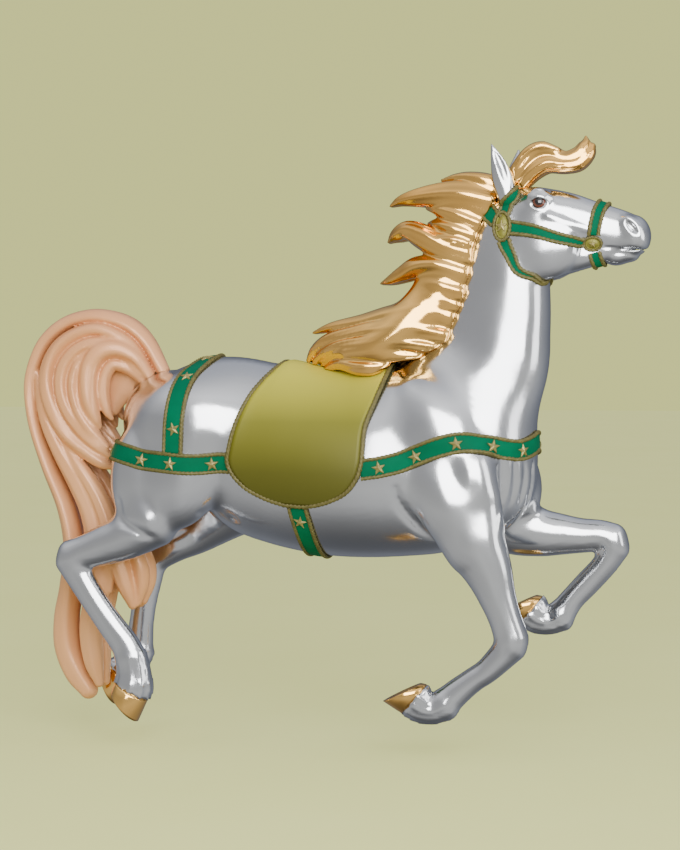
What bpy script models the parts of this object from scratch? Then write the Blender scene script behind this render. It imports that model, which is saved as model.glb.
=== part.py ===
"""A carousel horse in mid-gallop, cast hollow in metal, with its mane, tail, hooves and trappings.

Metres, +Z up. The horse faces +X and its right side, the show side, faces -Y. The origin is the
middle of the round flat under the belly, where the carousel's pole carries the horse.
"""

import math

import bmesh
import bpy
import numpy as np
import openvdb
from mathutils import Matrix, kdtree

# Form tools. A form is a function from points to signed distances, negative inside.

FAR = 1.0


def smooth_union(a, b, blend):
    """The lower of two distances, with the corner between them rounded over the blend."""
    share = np.maximum(blend - np.abs(a - b), 0) / blend
    return np.minimum(a, b) - share**3 * blend / 6


def smooth_cut(a, b, blend):
    """What is left of a when b is carved out of it."""
    return -smooth_union(-a, b, blend)


def spline(rows, steps=10):
    """The rows sampled along one smooth curve that passes through each of them."""
    rows = np.asarray(rows, float)
    before = np.vstack([2 * rows[:1] - rows[1:2], rows, 2 * rows[-1:] - rows[-2:-1]])
    sampled = []
    for a, b, c, d in zip(before, before[1:], before[2:], before[3:]):
        for t in np.arange(steps) / steps:
            sampled.append(
                b + t * (c - a) / 2 + t**2 * (2 * a - 5 * b + 4 * c - d) / 2
                + t**3 * (3 * b - a - 3 * c + d) / 2
            )
    return np.array(sampled + [rows[-1]])


def limb(points, rows, taper=0.0, square=2.0, side=(0, 1, 0), steps=10, cap=1.0):
    """Distance to a form swept along a curve.

    Each row holds a middle point x, y, z, then half the depth and half the width there. Depth lies
    across the curve and the side direction, and width along the side direction. A positive taper
    widens the half that faces upwards or, on a rising curve, backwards.
    """
    path = spline(rows, steps)
    middle, depth, width = path[:, :3], path[:, 3], path[:, 4]
    tangent = np.gradient(middle, axis=0)
    tangent /= np.linalg.norm(tangent, axis=1, keepdims=True)
    run = np.diff(middle, axis=0)
    nearest = ((middle**2).sum(1) - 2 * (points @ middle.T)).argmin(1)
    best = np.full(len(points), 1e9)
    place = np.zeros(len(points))
    for step in (-1, 0):
        i = np.clip(nearest + step, 0, len(run) - 1)
        away = points - middle[i]
        t = np.clip(np.einsum("ij,ij->i", away, run[i]) / (run**2).sum(1)[i], 0, 1)
        away -= t[:, None] * run[i]
        squared = np.einsum("ij,ij->i", away, away)
        nearer = squared < best
        best = np.where(nearer, squared, best)
        place = np.where(nearer, i + t, place)
    index = np.minimum(place.astype(int), len(middle) - 2)
    share = (place - index)[:, None]
    centre = middle[index] * (1 - share) + middle[index + 1] * share
    along = tangent[index] * (1 - share) + tangent[index + 1] * share
    along /= np.linalg.norm(along, axis=1, keepdims=True)
    share = share[:, 0]
    half_depth = depth[index] * (1 - share) + depth[index + 1] * share
    half_width = width[index] * (1 - share) + width[index + 1] * share
    lateral = np.asarray(side, float) - along * (along @ np.asarray(side, float))[:, None]
    lateral /= np.linalg.norm(lateral, axis=1, keepdims=True)
    normal = np.cross(along, lateral)
    offset = points - centre
    u = np.einsum("ij,ij->i", offset, lateral)
    v = np.einsum("ij,ij->i", offset, normal)
    s = np.einsum("ij,ij->i", offset, along)
    half_width = half_width * (1 + taper * np.clip(v / half_depth, -1, 1))
    end_reach = np.minimum(half_depth, half_width) * cap
    ratio = (
        np.abs(u / half_width) ** square + np.abs(v / half_depth) ** square
    ) ** (2 / square) + (s / end_reach) ** 2
    ratio = np.sqrt(np.maximum(ratio, 1e-8))
    radius = np.sqrt(np.einsum("ij,ij->i", offset, offset))
    return radius - np.maximum(radius, 1e-5) / ratio


def ball(points, centre, radii, lean=0.0):
    """Distance to an ellipsoid, leaned nose down about the Y axis by an angle in degrees."""
    offset = points - np.asarray(centre, float)
    c, s = math.cos(math.radians(lean)), math.sin(math.radians(lean))
    turned = np.stack(
        [c * offset[:, 0] - s * offset[:, 2], offset[:, 1], s * offset[:, 0] + c * offset[:, 2]], 1
    )
    ratio = np.sqrt(np.maximum(((turned / radii) ** 2).sum(1), 1e-8))
    radius = np.sqrt((offset**2).sum(1))
    return radius - np.maximum(radius, 1e-5) / ratio


def reach_of(rows, blend):
    """Lowest and highest corner of what a limb can touch."""
    rows = np.asarray(rows, float)
    grow = rows[:, 3:5].max() * 1.3 + blend + 0.02
    return rows[:, :3].min(0) - grow, rows[:, :3].max(0) + grow


def near(points, low, high):
    return np.all((points > low) & (points < high), axis=1)


def add_limb(field, points, rows, blend, **shape):
    """Joins a limb to the field, where the points are near enough to matter."""
    inside = near(points, *reach_of(rows, blend))
    if inside.any():
        field[inside] = smooth_union(field[inside], limb(points[inside], rows, **shape), blend)


def muscle(points, start, end, depth, width):
    """Distance to an ellipsoid that runs from start to end, with its width lying sideways."""
    start, end = np.asarray(start, float), np.asarray(end, float)
    length = np.linalg.norm(end - start) / 2
    along = (end - start) / (2 * length)
    lateral = np.array([0, 1, 0]) - along * along[1]
    lateral /= np.linalg.norm(lateral)
    frame = np.stack([along, lateral, np.cross(along, lateral)], 1)
    offset = points - (start + end) / 2
    ratio = np.sqrt(np.maximum((((offset @ frame) / (length, width, depth)) ** 2).sum(1), 1e-8))
    radius = np.sqrt((offset**2).sum(1))
    return radius - np.maximum(radius, 1e-5) / ratio


def add_muscle(field, points, start, end, depth, width, blend):
    grow = max(depth, width) + blend + 0.02
    inside = near(points, np.minimum(start, end) - grow, np.maximum(start, end) + grow)
    if inside.any():
        field[inside] = smooth_union(
            field[inside], muscle(points[inside], start, end, depth, width), blend
        )


def add_ball(field, points, centre, radii, blend, lean=0.0):
    grow = max(radii) + blend + 0.02
    inside = near(points, np.asarray(centre) - grow, np.asarray(centre) + grow)
    if inside.any():
        field[inside] = smooth_union(
            field[inside], ball(points[inside], centre, radii, lean), blend
        )


def cut_limb(field, points, rows, blend, **shape):
    """Carves a groove along a limb out of the field."""
    inside = near(points, *reach_of(rows, blend))
    if inside.any():
        field[inside] = smooth_cut(field[inside], limb(points[inside], rows, **shape), blend)


def cut_ball(field, points, centre, radii, blend, lean=0.0):
    grow = max(radii) + blend + 0.02
    inside = near(points, np.asarray(centre) - grow, np.asarray(centre) + grow)
    if inside.any():
        field[inside] = smooth_cut(field[inside], ball(points[inside], centre, radii, lean), blend)


# The horse's own form, side by side with the photograph's right side

MIRROR_EASE = 0.008


def both_sides(points):
    """The points folded on to the left side, with the fold eased so that it leaves no crease."""
    folded = points.copy()
    folded[:, 1] = np.sqrt(points[:, 1] ** 2 + MIRROR_EASE**2)
    return folded


BARREL = [
    (-0.45, 0, 0.312, 0.140, 0.115),
    (-0.38, 0, 0.306, 0.172, 0.150),
    (-0.30, 0, 0.297, 0.190, 0.160),
    (-0.22, 0, 0.264, 0.217, 0.166),
    (-0.14, 0, 0.241, 0.222, 0.176),
    (-0.06, 0, 0.222, 0.219, 0.185),
    (0.02, 0, 0.214, 0.217, 0.188),
    (0.10, 0, 0.222, 0.222, 0.182),
    (0.19, 0, 0.235, 0.226, 0.166),
    (0.27, 0, 0.245, 0.215, 0.145),
    (0.33, 0, 0.250, 0.190, 0.125),
]
NECK = [
    (0.220, 0, 0.300, 0.175, 0.130),
    (0.282, 0, 0.375, 0.168, 0.112),
    (0.336, 0, 0.465, 0.148, 0.090),
    (0.359, 0, 0.560, 0.130, 0.078),
    (0.372, 0, 0.650, 0.115, 0.072),
    (0.377, 0, 0.730, 0.101, 0.067),
    (0.382, 0, 0.800, 0.082, 0.060),
]
FACE = [
    (0.402, 0, 0.832, 0.052, 0.050),
    (0.440, 0, 0.822, 0.066, 0.066),
    (0.480, 0, 0.808, 0.073, 0.067),
    (0.530, 0, 0.795, 0.074, 0.056),
    (0.585, 0, 0.784, 0.066, 0.046),
    (0.640, 0, 0.775, 0.057, 0.042),
    (0.678, 0, 0.768, 0.049, 0.042),
]


def head_form(points):
    """The head without its ears: skull, cheeks, jaw, muzzle, lips, nostrils and brows."""
    p = both_sides(points)
    field = np.full(len(points), FAR)
    add_limb(field, p, FACE, 0.02, square=2.3)
    add_ball(field, p, (0.470, 0.044, 0.746), (0.086, 0.030, 0.083), 0.018)
    add_limb(
        field, p,
        [(0.50, 0.030, 0.714, 0.042, 0.024), (0.56, 0.020, 0.720, 0.031, 0.022),
         (0.62, 0.012, 0.728, 0.022, 0.021)], 0.020,
    )
    add_ball(field, p, (0.645, 0.0, 0.718), (0.034, 0.029, 0.021), 0.010, lean=-8)
    add_ball(field, p, (0.667, 0.0, 0.7190), (0.028, 0.028, 0.0150), 0.008)
    add_ball(field, p, (0.685, 0.010, 0.761), (0.034, 0.035, 0.038), 0.018)
    add_ball(field, p, (0.695, 0.0, 0.750), (0.020, 0.027, 0.0165), 0.010)
    cut_limb(
        field, p,
        [(0.606, 0.044, 0.742, 0.0020, 0.010), (0.640, 0.043, 0.7375, 0.0024, 0.013),
         (0.676, 0.034, 0.7345, 0.0022, 0.013), (0.708, 0.0, 0.7340, 0.0020, 0.015)], 0.005,
    )
    add_ball(field, p, (0.464, 0.052, 0.857), (0.030, 0.020, 0.018), 0.02)
    add_limb(
        field, p,
        [(0.487, 0.058, 0.812, 0.008, 0.012), (0.53, 0.050, 0.796, 0.008, 0.010),
         (0.58, 0.041, 0.780, 0.006, 0.007)], 0.02,
    )
    add_ball(field, p, (0.679, 0.030, 0.786), (0.034, 0.018, 0.021), 0.012, lean=47)
    cut_ball(field, p, (0.680, 0.050, 0.786), (0.023, 0.012, 0.009), 0.004, lean=47)
    return field


def torso_form(points):
    """Trunk and neck, with the muscles that both sides share."""
    p = both_sides(points)
    field = np.full(len(points), FAR)
    add_limb(field, p, BARREL, 0.05, taper=-0.05)
    add_muscle(field, p, (-0.24, 0.070, 0.350), (-0.520, 0.085, 0.275), 0.132, 0.105, 0.06)
    add_ball(field, p, (-0.470, 0.045, 0.336), (0.085, 0.076, 0.093), 0.04)
    add_limb(field, p, NECK, 0.09, taper=-0.2)
    add_muscle(field, p, (0.160, 0.085, 0.430), (0.330, 0.110, 0.170), 0.085, 0.070, 0.05)
    add_ball(field, p, (0.04, 0.0, 0.385), (0.13, 0.06, 0.062), 0.06)
    return field


RIGHT_FORE = [
    [(0.300, -0.120, 0.130, 0.092, 0.060), (0.325, -0.130, 0.052, 0.078, 0.056),
     (0.349, -0.130, 0.006, 0.064, 0.050), (0.364, -0.130, -0.028, 0.055, 0.045),
     (0.380, -0.130, -0.073, 0.045, 0.039), (0.398, -0.130, -0.122, 0.039, 0.036),
     (0.415, -0.130, -0.172, 0.040, 0.037)],
    [(0.414, -0.130, -0.190, 0.037, 0.034), (0.361, -0.130, -0.245, 0.030, 0.028),
     (0.325, -0.130, -0.271, 0.029, 0.027), (0.290, -0.130, -0.299, 0.032, 0.028),
     (0.260, -0.130, -0.326, 0.035, 0.031)],
    [(0.256, -0.130, -0.333, 0.036, 0.031), (0.230, -0.130, -0.344, 0.033, 0.030),
     (0.206, -0.130, -0.338, 0.039, 0.035), (0.186, -0.130, -0.322, 0.044, 0.040)],
]
LEFT_FORE = [
    [(0.340, 0.105, 0.110, 0.085, 0.062), (0.385, 0.120, 0.072, 0.073, 0.060),
     (0.446, 0.120, 0.056, 0.060, 0.052), (0.497, 0.120, 0.052, 0.051, 0.045),
     (0.546, 0.120, 0.050, 0.043, 0.040), (0.594, 0.120, 0.050, 0.039, 0.036),
     (0.624, 0.120, 0.042, 0.040, 0.036)],
    [(0.630, 0.120, 0.022, 0.036, 0.034), (0.605, 0.120, -0.020, 0.031, 0.030),
     (0.562, 0.120, -0.068, 0.031, 0.027), (0.528, 0.120, -0.105, 0.030, 0.028),
     (0.502, 0.120, -0.140, 0.034, 0.031)],
    [(0.498, 0.120, -0.148, 0.036, 0.031), (0.472, 0.120, -0.159, 0.033, 0.030),
     (0.448, 0.120, -0.153, 0.039, 0.035), (0.428, 0.120, -0.137, 0.044, 0.040)],
]
RIGHT_HIND = [
    [(-0.470, -0.125, 0.090, 0.075, 0.060), (-0.526, -0.130, 0.048, 0.058, 0.048),
     (-0.574, -0.130, 0.029, 0.051, 0.041), (-0.629, -0.130, 0.009, 0.043, 0.034),
     (-0.672, -0.130, -0.003, 0.039, 0.030)],
    [(-0.672, -0.130, -0.013, 0.038, 0.030), (-0.638, -0.130, -0.068, 0.034, 0.027),
     (-0.605, -0.130, -0.118, 0.033, 0.026), (-0.568, -0.130, -0.169, 0.034, 0.026),
     (-0.534, -0.130, -0.213, 0.036, 0.028), (-0.516, -0.130, -0.245, 0.038, 0.030)],
    [(-0.516, -0.130, -0.248, 0.038, 0.030), (-0.510, -0.130, -0.282, 0.040, 0.032),
     (-0.511, -0.130, -0.312, 0.046, 0.037), (-0.516, -0.130, -0.330, 0.046, 0.040)],
]
LEFT_HIND = [
    [(-0.350, 0.110, 0.110, 0.095, 0.065), (-0.420, 0.125, 0.045, 0.060, 0.050),
     (-0.480, 0.120, 0.010, 0.047, 0.040), (-0.530, 0.120, -0.020, 0.042, 0.032),
     (-0.548, 0.120, -0.040, 0.038, 0.029)],
    [(-0.546, 0.120, -0.042, 0.036, 0.029), (-0.550, 0.120, -0.080, 0.032, 0.027),
     (-0.564, 0.120, -0.135, 0.032, 0.026), (-0.573, 0.120, -0.190, 0.032, 0.026),
     (-0.578, 0.120, -0.242, 0.035, 0.028), (-0.580, 0.120, -0.265, 0.036, 0.030)],
    [(-0.580, 0.120, -0.268, 0.037, 0.030), (-0.592, 0.120, -0.296, 0.036, 0.031),
     (-0.612, 0.120, -0.318, 0.043, 0.036), (-0.628, 0.120, -0.330, 0.045, 0.040)],
]
LEGS = {"front_right": RIGHT_FORE, "front_left": LEFT_FORE,
        "rear_right": RIGHT_HIND, "rear_left": LEFT_HIND}


def quarters(field, points):
    """Adds the shoulders, chest and thighs, which differ from side to side with the gallop."""
    add_muscle(field, points, (0.21, -0.125, 0.270), (0.300, -0.142, 0.050), 0.075, 0.055, 0.03)
    add_muscle(field, points, (0.300, -0.115, 0.290), (0.345, -0.120, 0.110), 0.060, 0.062, 0.03)
    add_muscle(field, points, (0.355, 0.085, 0.300), (0.425, 0.085, 0.100), 0.060, 0.065, 0.03)
    add_ball(field, points, (0.350, -0.020, 0.190), (0.092, 0.085, 0.110), 0.03)
    add_muscle(field, points, (-0.360, -0.110, 0.330), (-0.420, -0.130, 0.070), 0.098, 0.068, 0.05)
    add_muscle(field, points, (-0.488, -0.095, 0.330), (-0.498, -0.125, 0.070), 0.078, 0.065, 0.03)
    add_muscle(field, points, (-0.330, 0.110, 0.330), (-0.330, 0.130, 0.060), 0.100, 0.068, 0.05)
    add_muscle(field, points, (-0.478, 0.095, 0.330), (-0.430, 0.125, 0.060), 0.082, 0.065, 0.03)


# Grooves between the muscles and the folds of skin. Each row holds a place on the surface and the
# groove's half size there; the last number of each crease is how softly its edges are rounded.
CREASES_RIGHT = [
    ([(0.146, -0.173, 0.180, 0.004), (0.153, -0.168, 0.148, 0.009), (0.174, -0.153, 0.113, 0.012),
      (0.207, -0.124, 0.072, 0.012), (0.232, -0.100, 0.050, 0.008)], 0.014),
    ([(-0.537, -0.163, 0.138, 0.004), (-0.524, -0.175, 0.091, 0.008), (-0.488, -0.184, 0.069, 0.009),
      (-0.449, -0.173, 0.049, 0.004)], 0.018),
    ([(-0.330, -0.148, 0.106, 0.008), (-0.300, -0.128, 0.104, 0.014), (-0.268, -0.104, 0.088, 0.010)],
     0.012),
    ([(0.390, -0.118, 0.250, 0.006), (0.393, -0.118, 0.205, 0.013), (0.392, -0.114, 0.150, 0.012),
      (0.385, -0.100, 0.120, 0.006)], 0.010),
    ([(0.415, -0.093, 0.240, 0.003), (0.417, -0.092, 0.196, 0.007), (0.408, -0.088, 0.140, 0.005)], 0.008),
    ([(0.436, -0.070, 0.235, 0.003), (0.437, -0.068, 0.195, 0.007), (0.424, -0.062, 0.140, 0.005)], 0.008),
    ([(0.448, -0.036, 0.235, 0.003), (0.450, -0.034, 0.190, 0.007), (0.436, -0.028, 0.140, 0.005)], 0.008),
]


def add_creases(field, points):
    """Carves the grooves and folds."""
    for rows, blend in CREASES_RIGHT:
        rows = [(x, y, z, size, size) for x, y, z, size in rows]
        cut_limb(field, points, rows, blend, steps=5)
    return field


SEAT_HEIGHT = 0.0045
SEAT_REACH = 0.12


def cut_seat(field, points):
    """Planes the belly flat at z = 0, where the carousel's pole is bolted."""
    inside = np.abs(points[:, 0]) < SEAT_REACH
    field[inside] = np.maximum(field[inside], -points[inside, 2] - 1e6 * (points[inside, 2] > 0.05))
    return field


EARS = [
    [(0.388, -0.042, 0.862, 0.024, 0.022), (0.379, -0.048, 0.900, 0.026, 0.017),
     (0.368, -0.053, 0.940, 0.018, 0.011), (0.353, -0.055, 0.983, 0.003, 0.003)],
    [(0.388, 0.042, 0.862, 0.024, 0.022), (0.391, 0.048, 0.900, 0.025, 0.017),
     (0.397, 0.053, 0.940, 0.017, 0.011), (0.402, 0.055, 0.980, 0.003, 0.003)],
]


def ear_form(points):
    """The near ear leans back and the far one is pricked, as in the photograph."""
    field = np.full(len(points), FAR)
    for ear in EARS:
        add_limb(field, points, ear, 0.01)
    return field


def horse_form(points):
    """The whole cast body: trunk, neck, head, ears and the four legs to the coronets."""
    field = torso_form(points)
    quarters(field, points)
    for leg in LEGS.values():
        add_limb(field, points, leg[0], 0.04)
        add_limb(field, points, leg[1], 0.018)
        add_limb(field, points, leg[2], 0.014)
    field = smooth_union(field, head_form(points), 0.025)
    field = smooth_union(field, ear_form(points), 0.012)
    field = add_creases(field, points)
    return cut_seat(trim_to_coronets(field, points), points)


# Hooves. Each is given in side view: the coronet's front and back, the toe and the heel.

HOOVES = {
    "front_right": (-0.130, (0.155, -0.356), (0.214, -0.286), (0.110, -0.328), (0.200, -0.284)),
    "front_left": (0.120, (0.396, -0.170), (0.455, -0.100), (0.351, -0.142), (0.441, -0.098)),
    "rear_right": (-0.130, (-0.475, -0.349), (-0.555, -0.306), (-0.500, -0.402), (-0.564, -0.330)),
    "rear_left": (0.120, (-0.590, -0.358), (-0.658, -0.298), (-0.640, -0.408), (-0.678, -0.330)),
}
HOOF_HALF_WIDTH = 0.041
SOLE_HALF_WIDTH = 0.047
JOINT_GAP = 0.0


def hoof_ring(hoof):
    """Middle of the coronet, its direction from back to front, and the way down the hoof."""
    y, front, back, toe, heel = hoof
    front, back = (np.array([p[0], y, p[1]]) for p in (front, back))
    toe, heel = (np.array([p[0], y, p[1]]) for p in (toe, heel))
    forward = (front - back) / np.linalg.norm(front - back)
    middle = (front + back) / 2
    down = (toe + heel) / 2 - middle
    down -= forward * (down @ forward)
    return middle, forward, down / np.linalg.norm(down), np.linalg.norm(front - back) / 2


def trim_to_coronets(field, points):
    """Ends each leg on the plane of its coronet, where the hoof begins."""
    for hoof in HOOVES.values():
        middle, forward, down, half = hoof_ring(hoof)
        inside = near(points, middle - 0.075, middle + 0.075)
        beyond = (points[inside] - middle) @ down
        field[inside] = np.maximum(field[inside], beyond)
    return field


def hoof_mesh(name, hoof, segments=20, rings=4):
    """A flared hoof lofted from the coronet to the sole, with a shallow hollow under it."""
    y, front, back, toe, heel = hoof
    middle, forward, down, half = hoof_ring(hoof)
    toe, heel = (np.array([p[0], y, p[1]]) for p in (toe, heel))
    sole_middle, sole_half = (toe + heel) / 2, (toe - heel) / 2
    outline = []
    for i in range(rings):
        share = i / (rings - 1)
        centre = (middle + down * JOINT_GAP) * (1 - share) + sole_middle * share
        reach = forward * half * (1 - share) + sole_half * share
        width = HOOF_HALF_WIDTH * (1 - share) + SOLE_HALF_WIDTH * share
        width += 0.003 * math.sin(math.pi * share)
        outline.append((centre, reach, width))
    outline.append((sole_middle, sole_half * 0.84, SOLE_HALF_WIDTH * 0.84))
    inward = middle - sole_middle
    outline.append((sole_middle + inward * 0.16, sole_half * 0.72, SOLE_HALF_WIDTH * 0.70))
    mesh = bmesh.new()
    loops = []
    for centre, reach, width in outline:
        loop = []
        for k in range(segments):
            angle = 2 * math.pi * k / segments
            place = centre + reach * math.cos(angle) + np.array([0, width, 0]) * math.sin(angle)
            loop.append(mesh.verts.new(place))
        loops.append(loop)
    for one, two in zip(loops, loops[1:]):
        for k in range(segments):
            mesh.faces.new((one[k], one[k - 1], two[k - 1], two[k]))
    mesh.faces.new(loops[0])
    mesh.faces.new(loops[-1][::-1])
    return finished(name, mesh)


def finished(name, mesh):
    """Turns a bmesh into a mesh whose faces all look outwards."""
    bmesh.ops.recalc_face_normals(mesh, faces=mesh.faces)
    out = bpy.data.meshes.new(name)
    mesh.to_mesh(out)
    mesh.free()
    return out


# The hair, carved as locks. Each lock is a limb whose rows run from root to tip.

MANE_LOCKS = [
    [(0.383, -0.012, 0.868, 0.024, 0.020), (0.341, -0.016, 0.891, 0.024, 0.026),
     (0.298, -0.018, 0.905, 0.017, 0.022), (0.261, -0.016, 0.909, 0.010, 0.014),
     (0.226, -0.014, 0.905, 0.003, 0.004)],
    [(0.378, -0.018, 0.829, 0.030, 0.026), (0.336, -0.022, 0.844, 0.036, 0.034),
     (0.286, -0.026, 0.860, 0.034, 0.036), (0.236, -0.028, 0.867, 0.028, 0.032),
     (0.173, -0.026, 0.865, 0.019, 0.024), (0.128, -0.022, 0.858, 0.011, 0.014),
     (0.101, -0.018, 0.846, 0.003, 0.004)],
    [(0.348, -0.030, 0.775, 0.020, 0.020), (0.313, -0.036, 0.798, 0.021, 0.022),
     (0.261, -0.042, 0.821, 0.020, 0.022), (0.221, -0.040, 0.834, 0.013, 0.016),
     (0.192, -0.034, 0.838, 0.004, 0.006)],
    [(0.343, -0.028, 0.746, 0.018, 0.020), (0.306, -0.036, 0.767, 0.018, 0.022),
     (0.254, -0.044, 0.788, 0.017, 0.024), (0.218, -0.040, 0.800, 0.010, 0.014),
     (0.196, -0.034, 0.802, 0.004, 0.006)],
    [(0.333, -0.026, 0.707, 0.020, 0.022), (0.296, -0.034, 0.722, 0.022, 0.026),
     (0.236, -0.040, 0.741, 0.026, 0.030), (0.186, -0.040, 0.769, 0.026, 0.030),
     (0.148, -0.034, 0.785, 0.020, 0.026), (0.118, -0.028, 0.775, 0.014, 0.018),
     (0.096, -0.022, 0.759, 0.003, 0.005)],
    [(0.323, -0.034, 0.736, 0.014, 0.016), (0.268, -0.050, 0.757, 0.014, 0.020),
     (0.208, -0.052, 0.758, 0.013, 0.018), (0.172, -0.046, 0.752, 0.005, 0.008)],
    [(0.316, -0.028, 0.666, 0.020, 0.022), (0.278, -0.036, 0.679, 0.021, 0.026),
     (0.223, -0.042, 0.699, 0.021, 0.030), (0.173, -0.040, 0.699, 0.020, 0.028),
     (0.136, -0.032, 0.683, 0.016, 0.022), (0.103, -0.024, 0.668, 0.010, 0.014),
     (0.078, -0.020, 0.660, 0.003, 0.004)],
    [(0.306, -0.030, 0.625, 0.020, 0.022), (0.268, -0.040, 0.637, 0.021, 0.026),
     (0.215, -0.048, 0.654, 0.020, 0.026), (0.172, -0.042, 0.656, 0.007, 0.011)],
    [(0.296, -0.030, 0.591, 0.018, 0.022), (0.260, -0.038, 0.605, 0.018, 0.024),
     (0.198, -0.046, 0.625, 0.016, 0.024), (0.158, -0.040, 0.628, 0.006, 0.010)],
    [(0.288, -0.028, 0.557, 0.021, 0.024), (0.248, -0.034, 0.573, 0.023, 0.028),
     (0.173, -0.042, 0.590, 0.023, 0.032), (0.111, -0.042, 0.584, 0.020, 0.030),
     (0.036, -0.036, 0.568, 0.015, 0.024), (-0.040, -0.028, 0.556, 0.010, 0.015),
     (-0.090, -0.022, 0.542, 0.003, 0.004)],
    [(0.273, -0.032, 0.518, 0.020, 0.024), (0.238, -0.040, 0.533, 0.021, 0.028),
     (0.161, -0.050, 0.550, 0.020, 0.032), (0.086, -0.052, 0.550, 0.019, 0.032),
     (0.023, -0.046, 0.541, 0.016, 0.028), (-0.045, -0.038, 0.526, 0.013, 0.022),
     (-0.085, -0.030, 0.499, 0.010, 0.016), (-0.108, -0.026, 0.460, 0.003, 0.005)],
    [(0.238, -0.040, 0.495, 0.017, 0.022), (0.198, -0.048, 0.508, 0.018, 0.026),
     (0.133, -0.058, 0.518, 0.017, 0.028), (0.061, -0.062, 0.518, 0.017, 0.030),
     (-0.015, -0.056, 0.510, 0.014, 0.026), (-0.065, -0.046, 0.487, 0.010, 0.018),
     (-0.094, -0.036, 0.456, 0.003, 0.005)],
    [(0.178, -0.044, 0.477, 0.017, 0.022), (0.136, -0.052, 0.483, 0.018, 0.026),
     (0.078, -0.064, 0.489, 0.018, 0.028), (0.018, -0.064, 0.493, 0.016, 0.026),
     (-0.032, -0.056, 0.487, 0.012, 0.020), (-0.072, -0.050, 0.458, 0.003, 0.005)],
    [(0.128, -0.046, 0.458, 0.018, 0.022), (0.086, -0.056, 0.456, 0.020, 0.028),
     (0.038, -0.066, 0.458, 0.019, 0.030), (-0.017, -0.064, 0.466, 0.013, 0.022),
     (-0.074, -0.060, 0.444, 0.003, 0.005)],
]
MANE_SHEET = [
    (0.340, -0.014, 0.872, 0.026, 0.018), (0.297, -0.020, 0.822, 0.052, 0.030),
    (0.264, -0.022, 0.752, 0.058, 0.034), (0.242, -0.026, 0.684, 0.056, 0.037),
    (0.206, -0.030, 0.612, 0.054, 0.042), (0.140, -0.036, 0.552, 0.048, 0.054),
    (0.070, -0.040, 0.508, 0.038, 0.054), (0.010, -0.040, 0.492, 0.024, 0.040),
]
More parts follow.
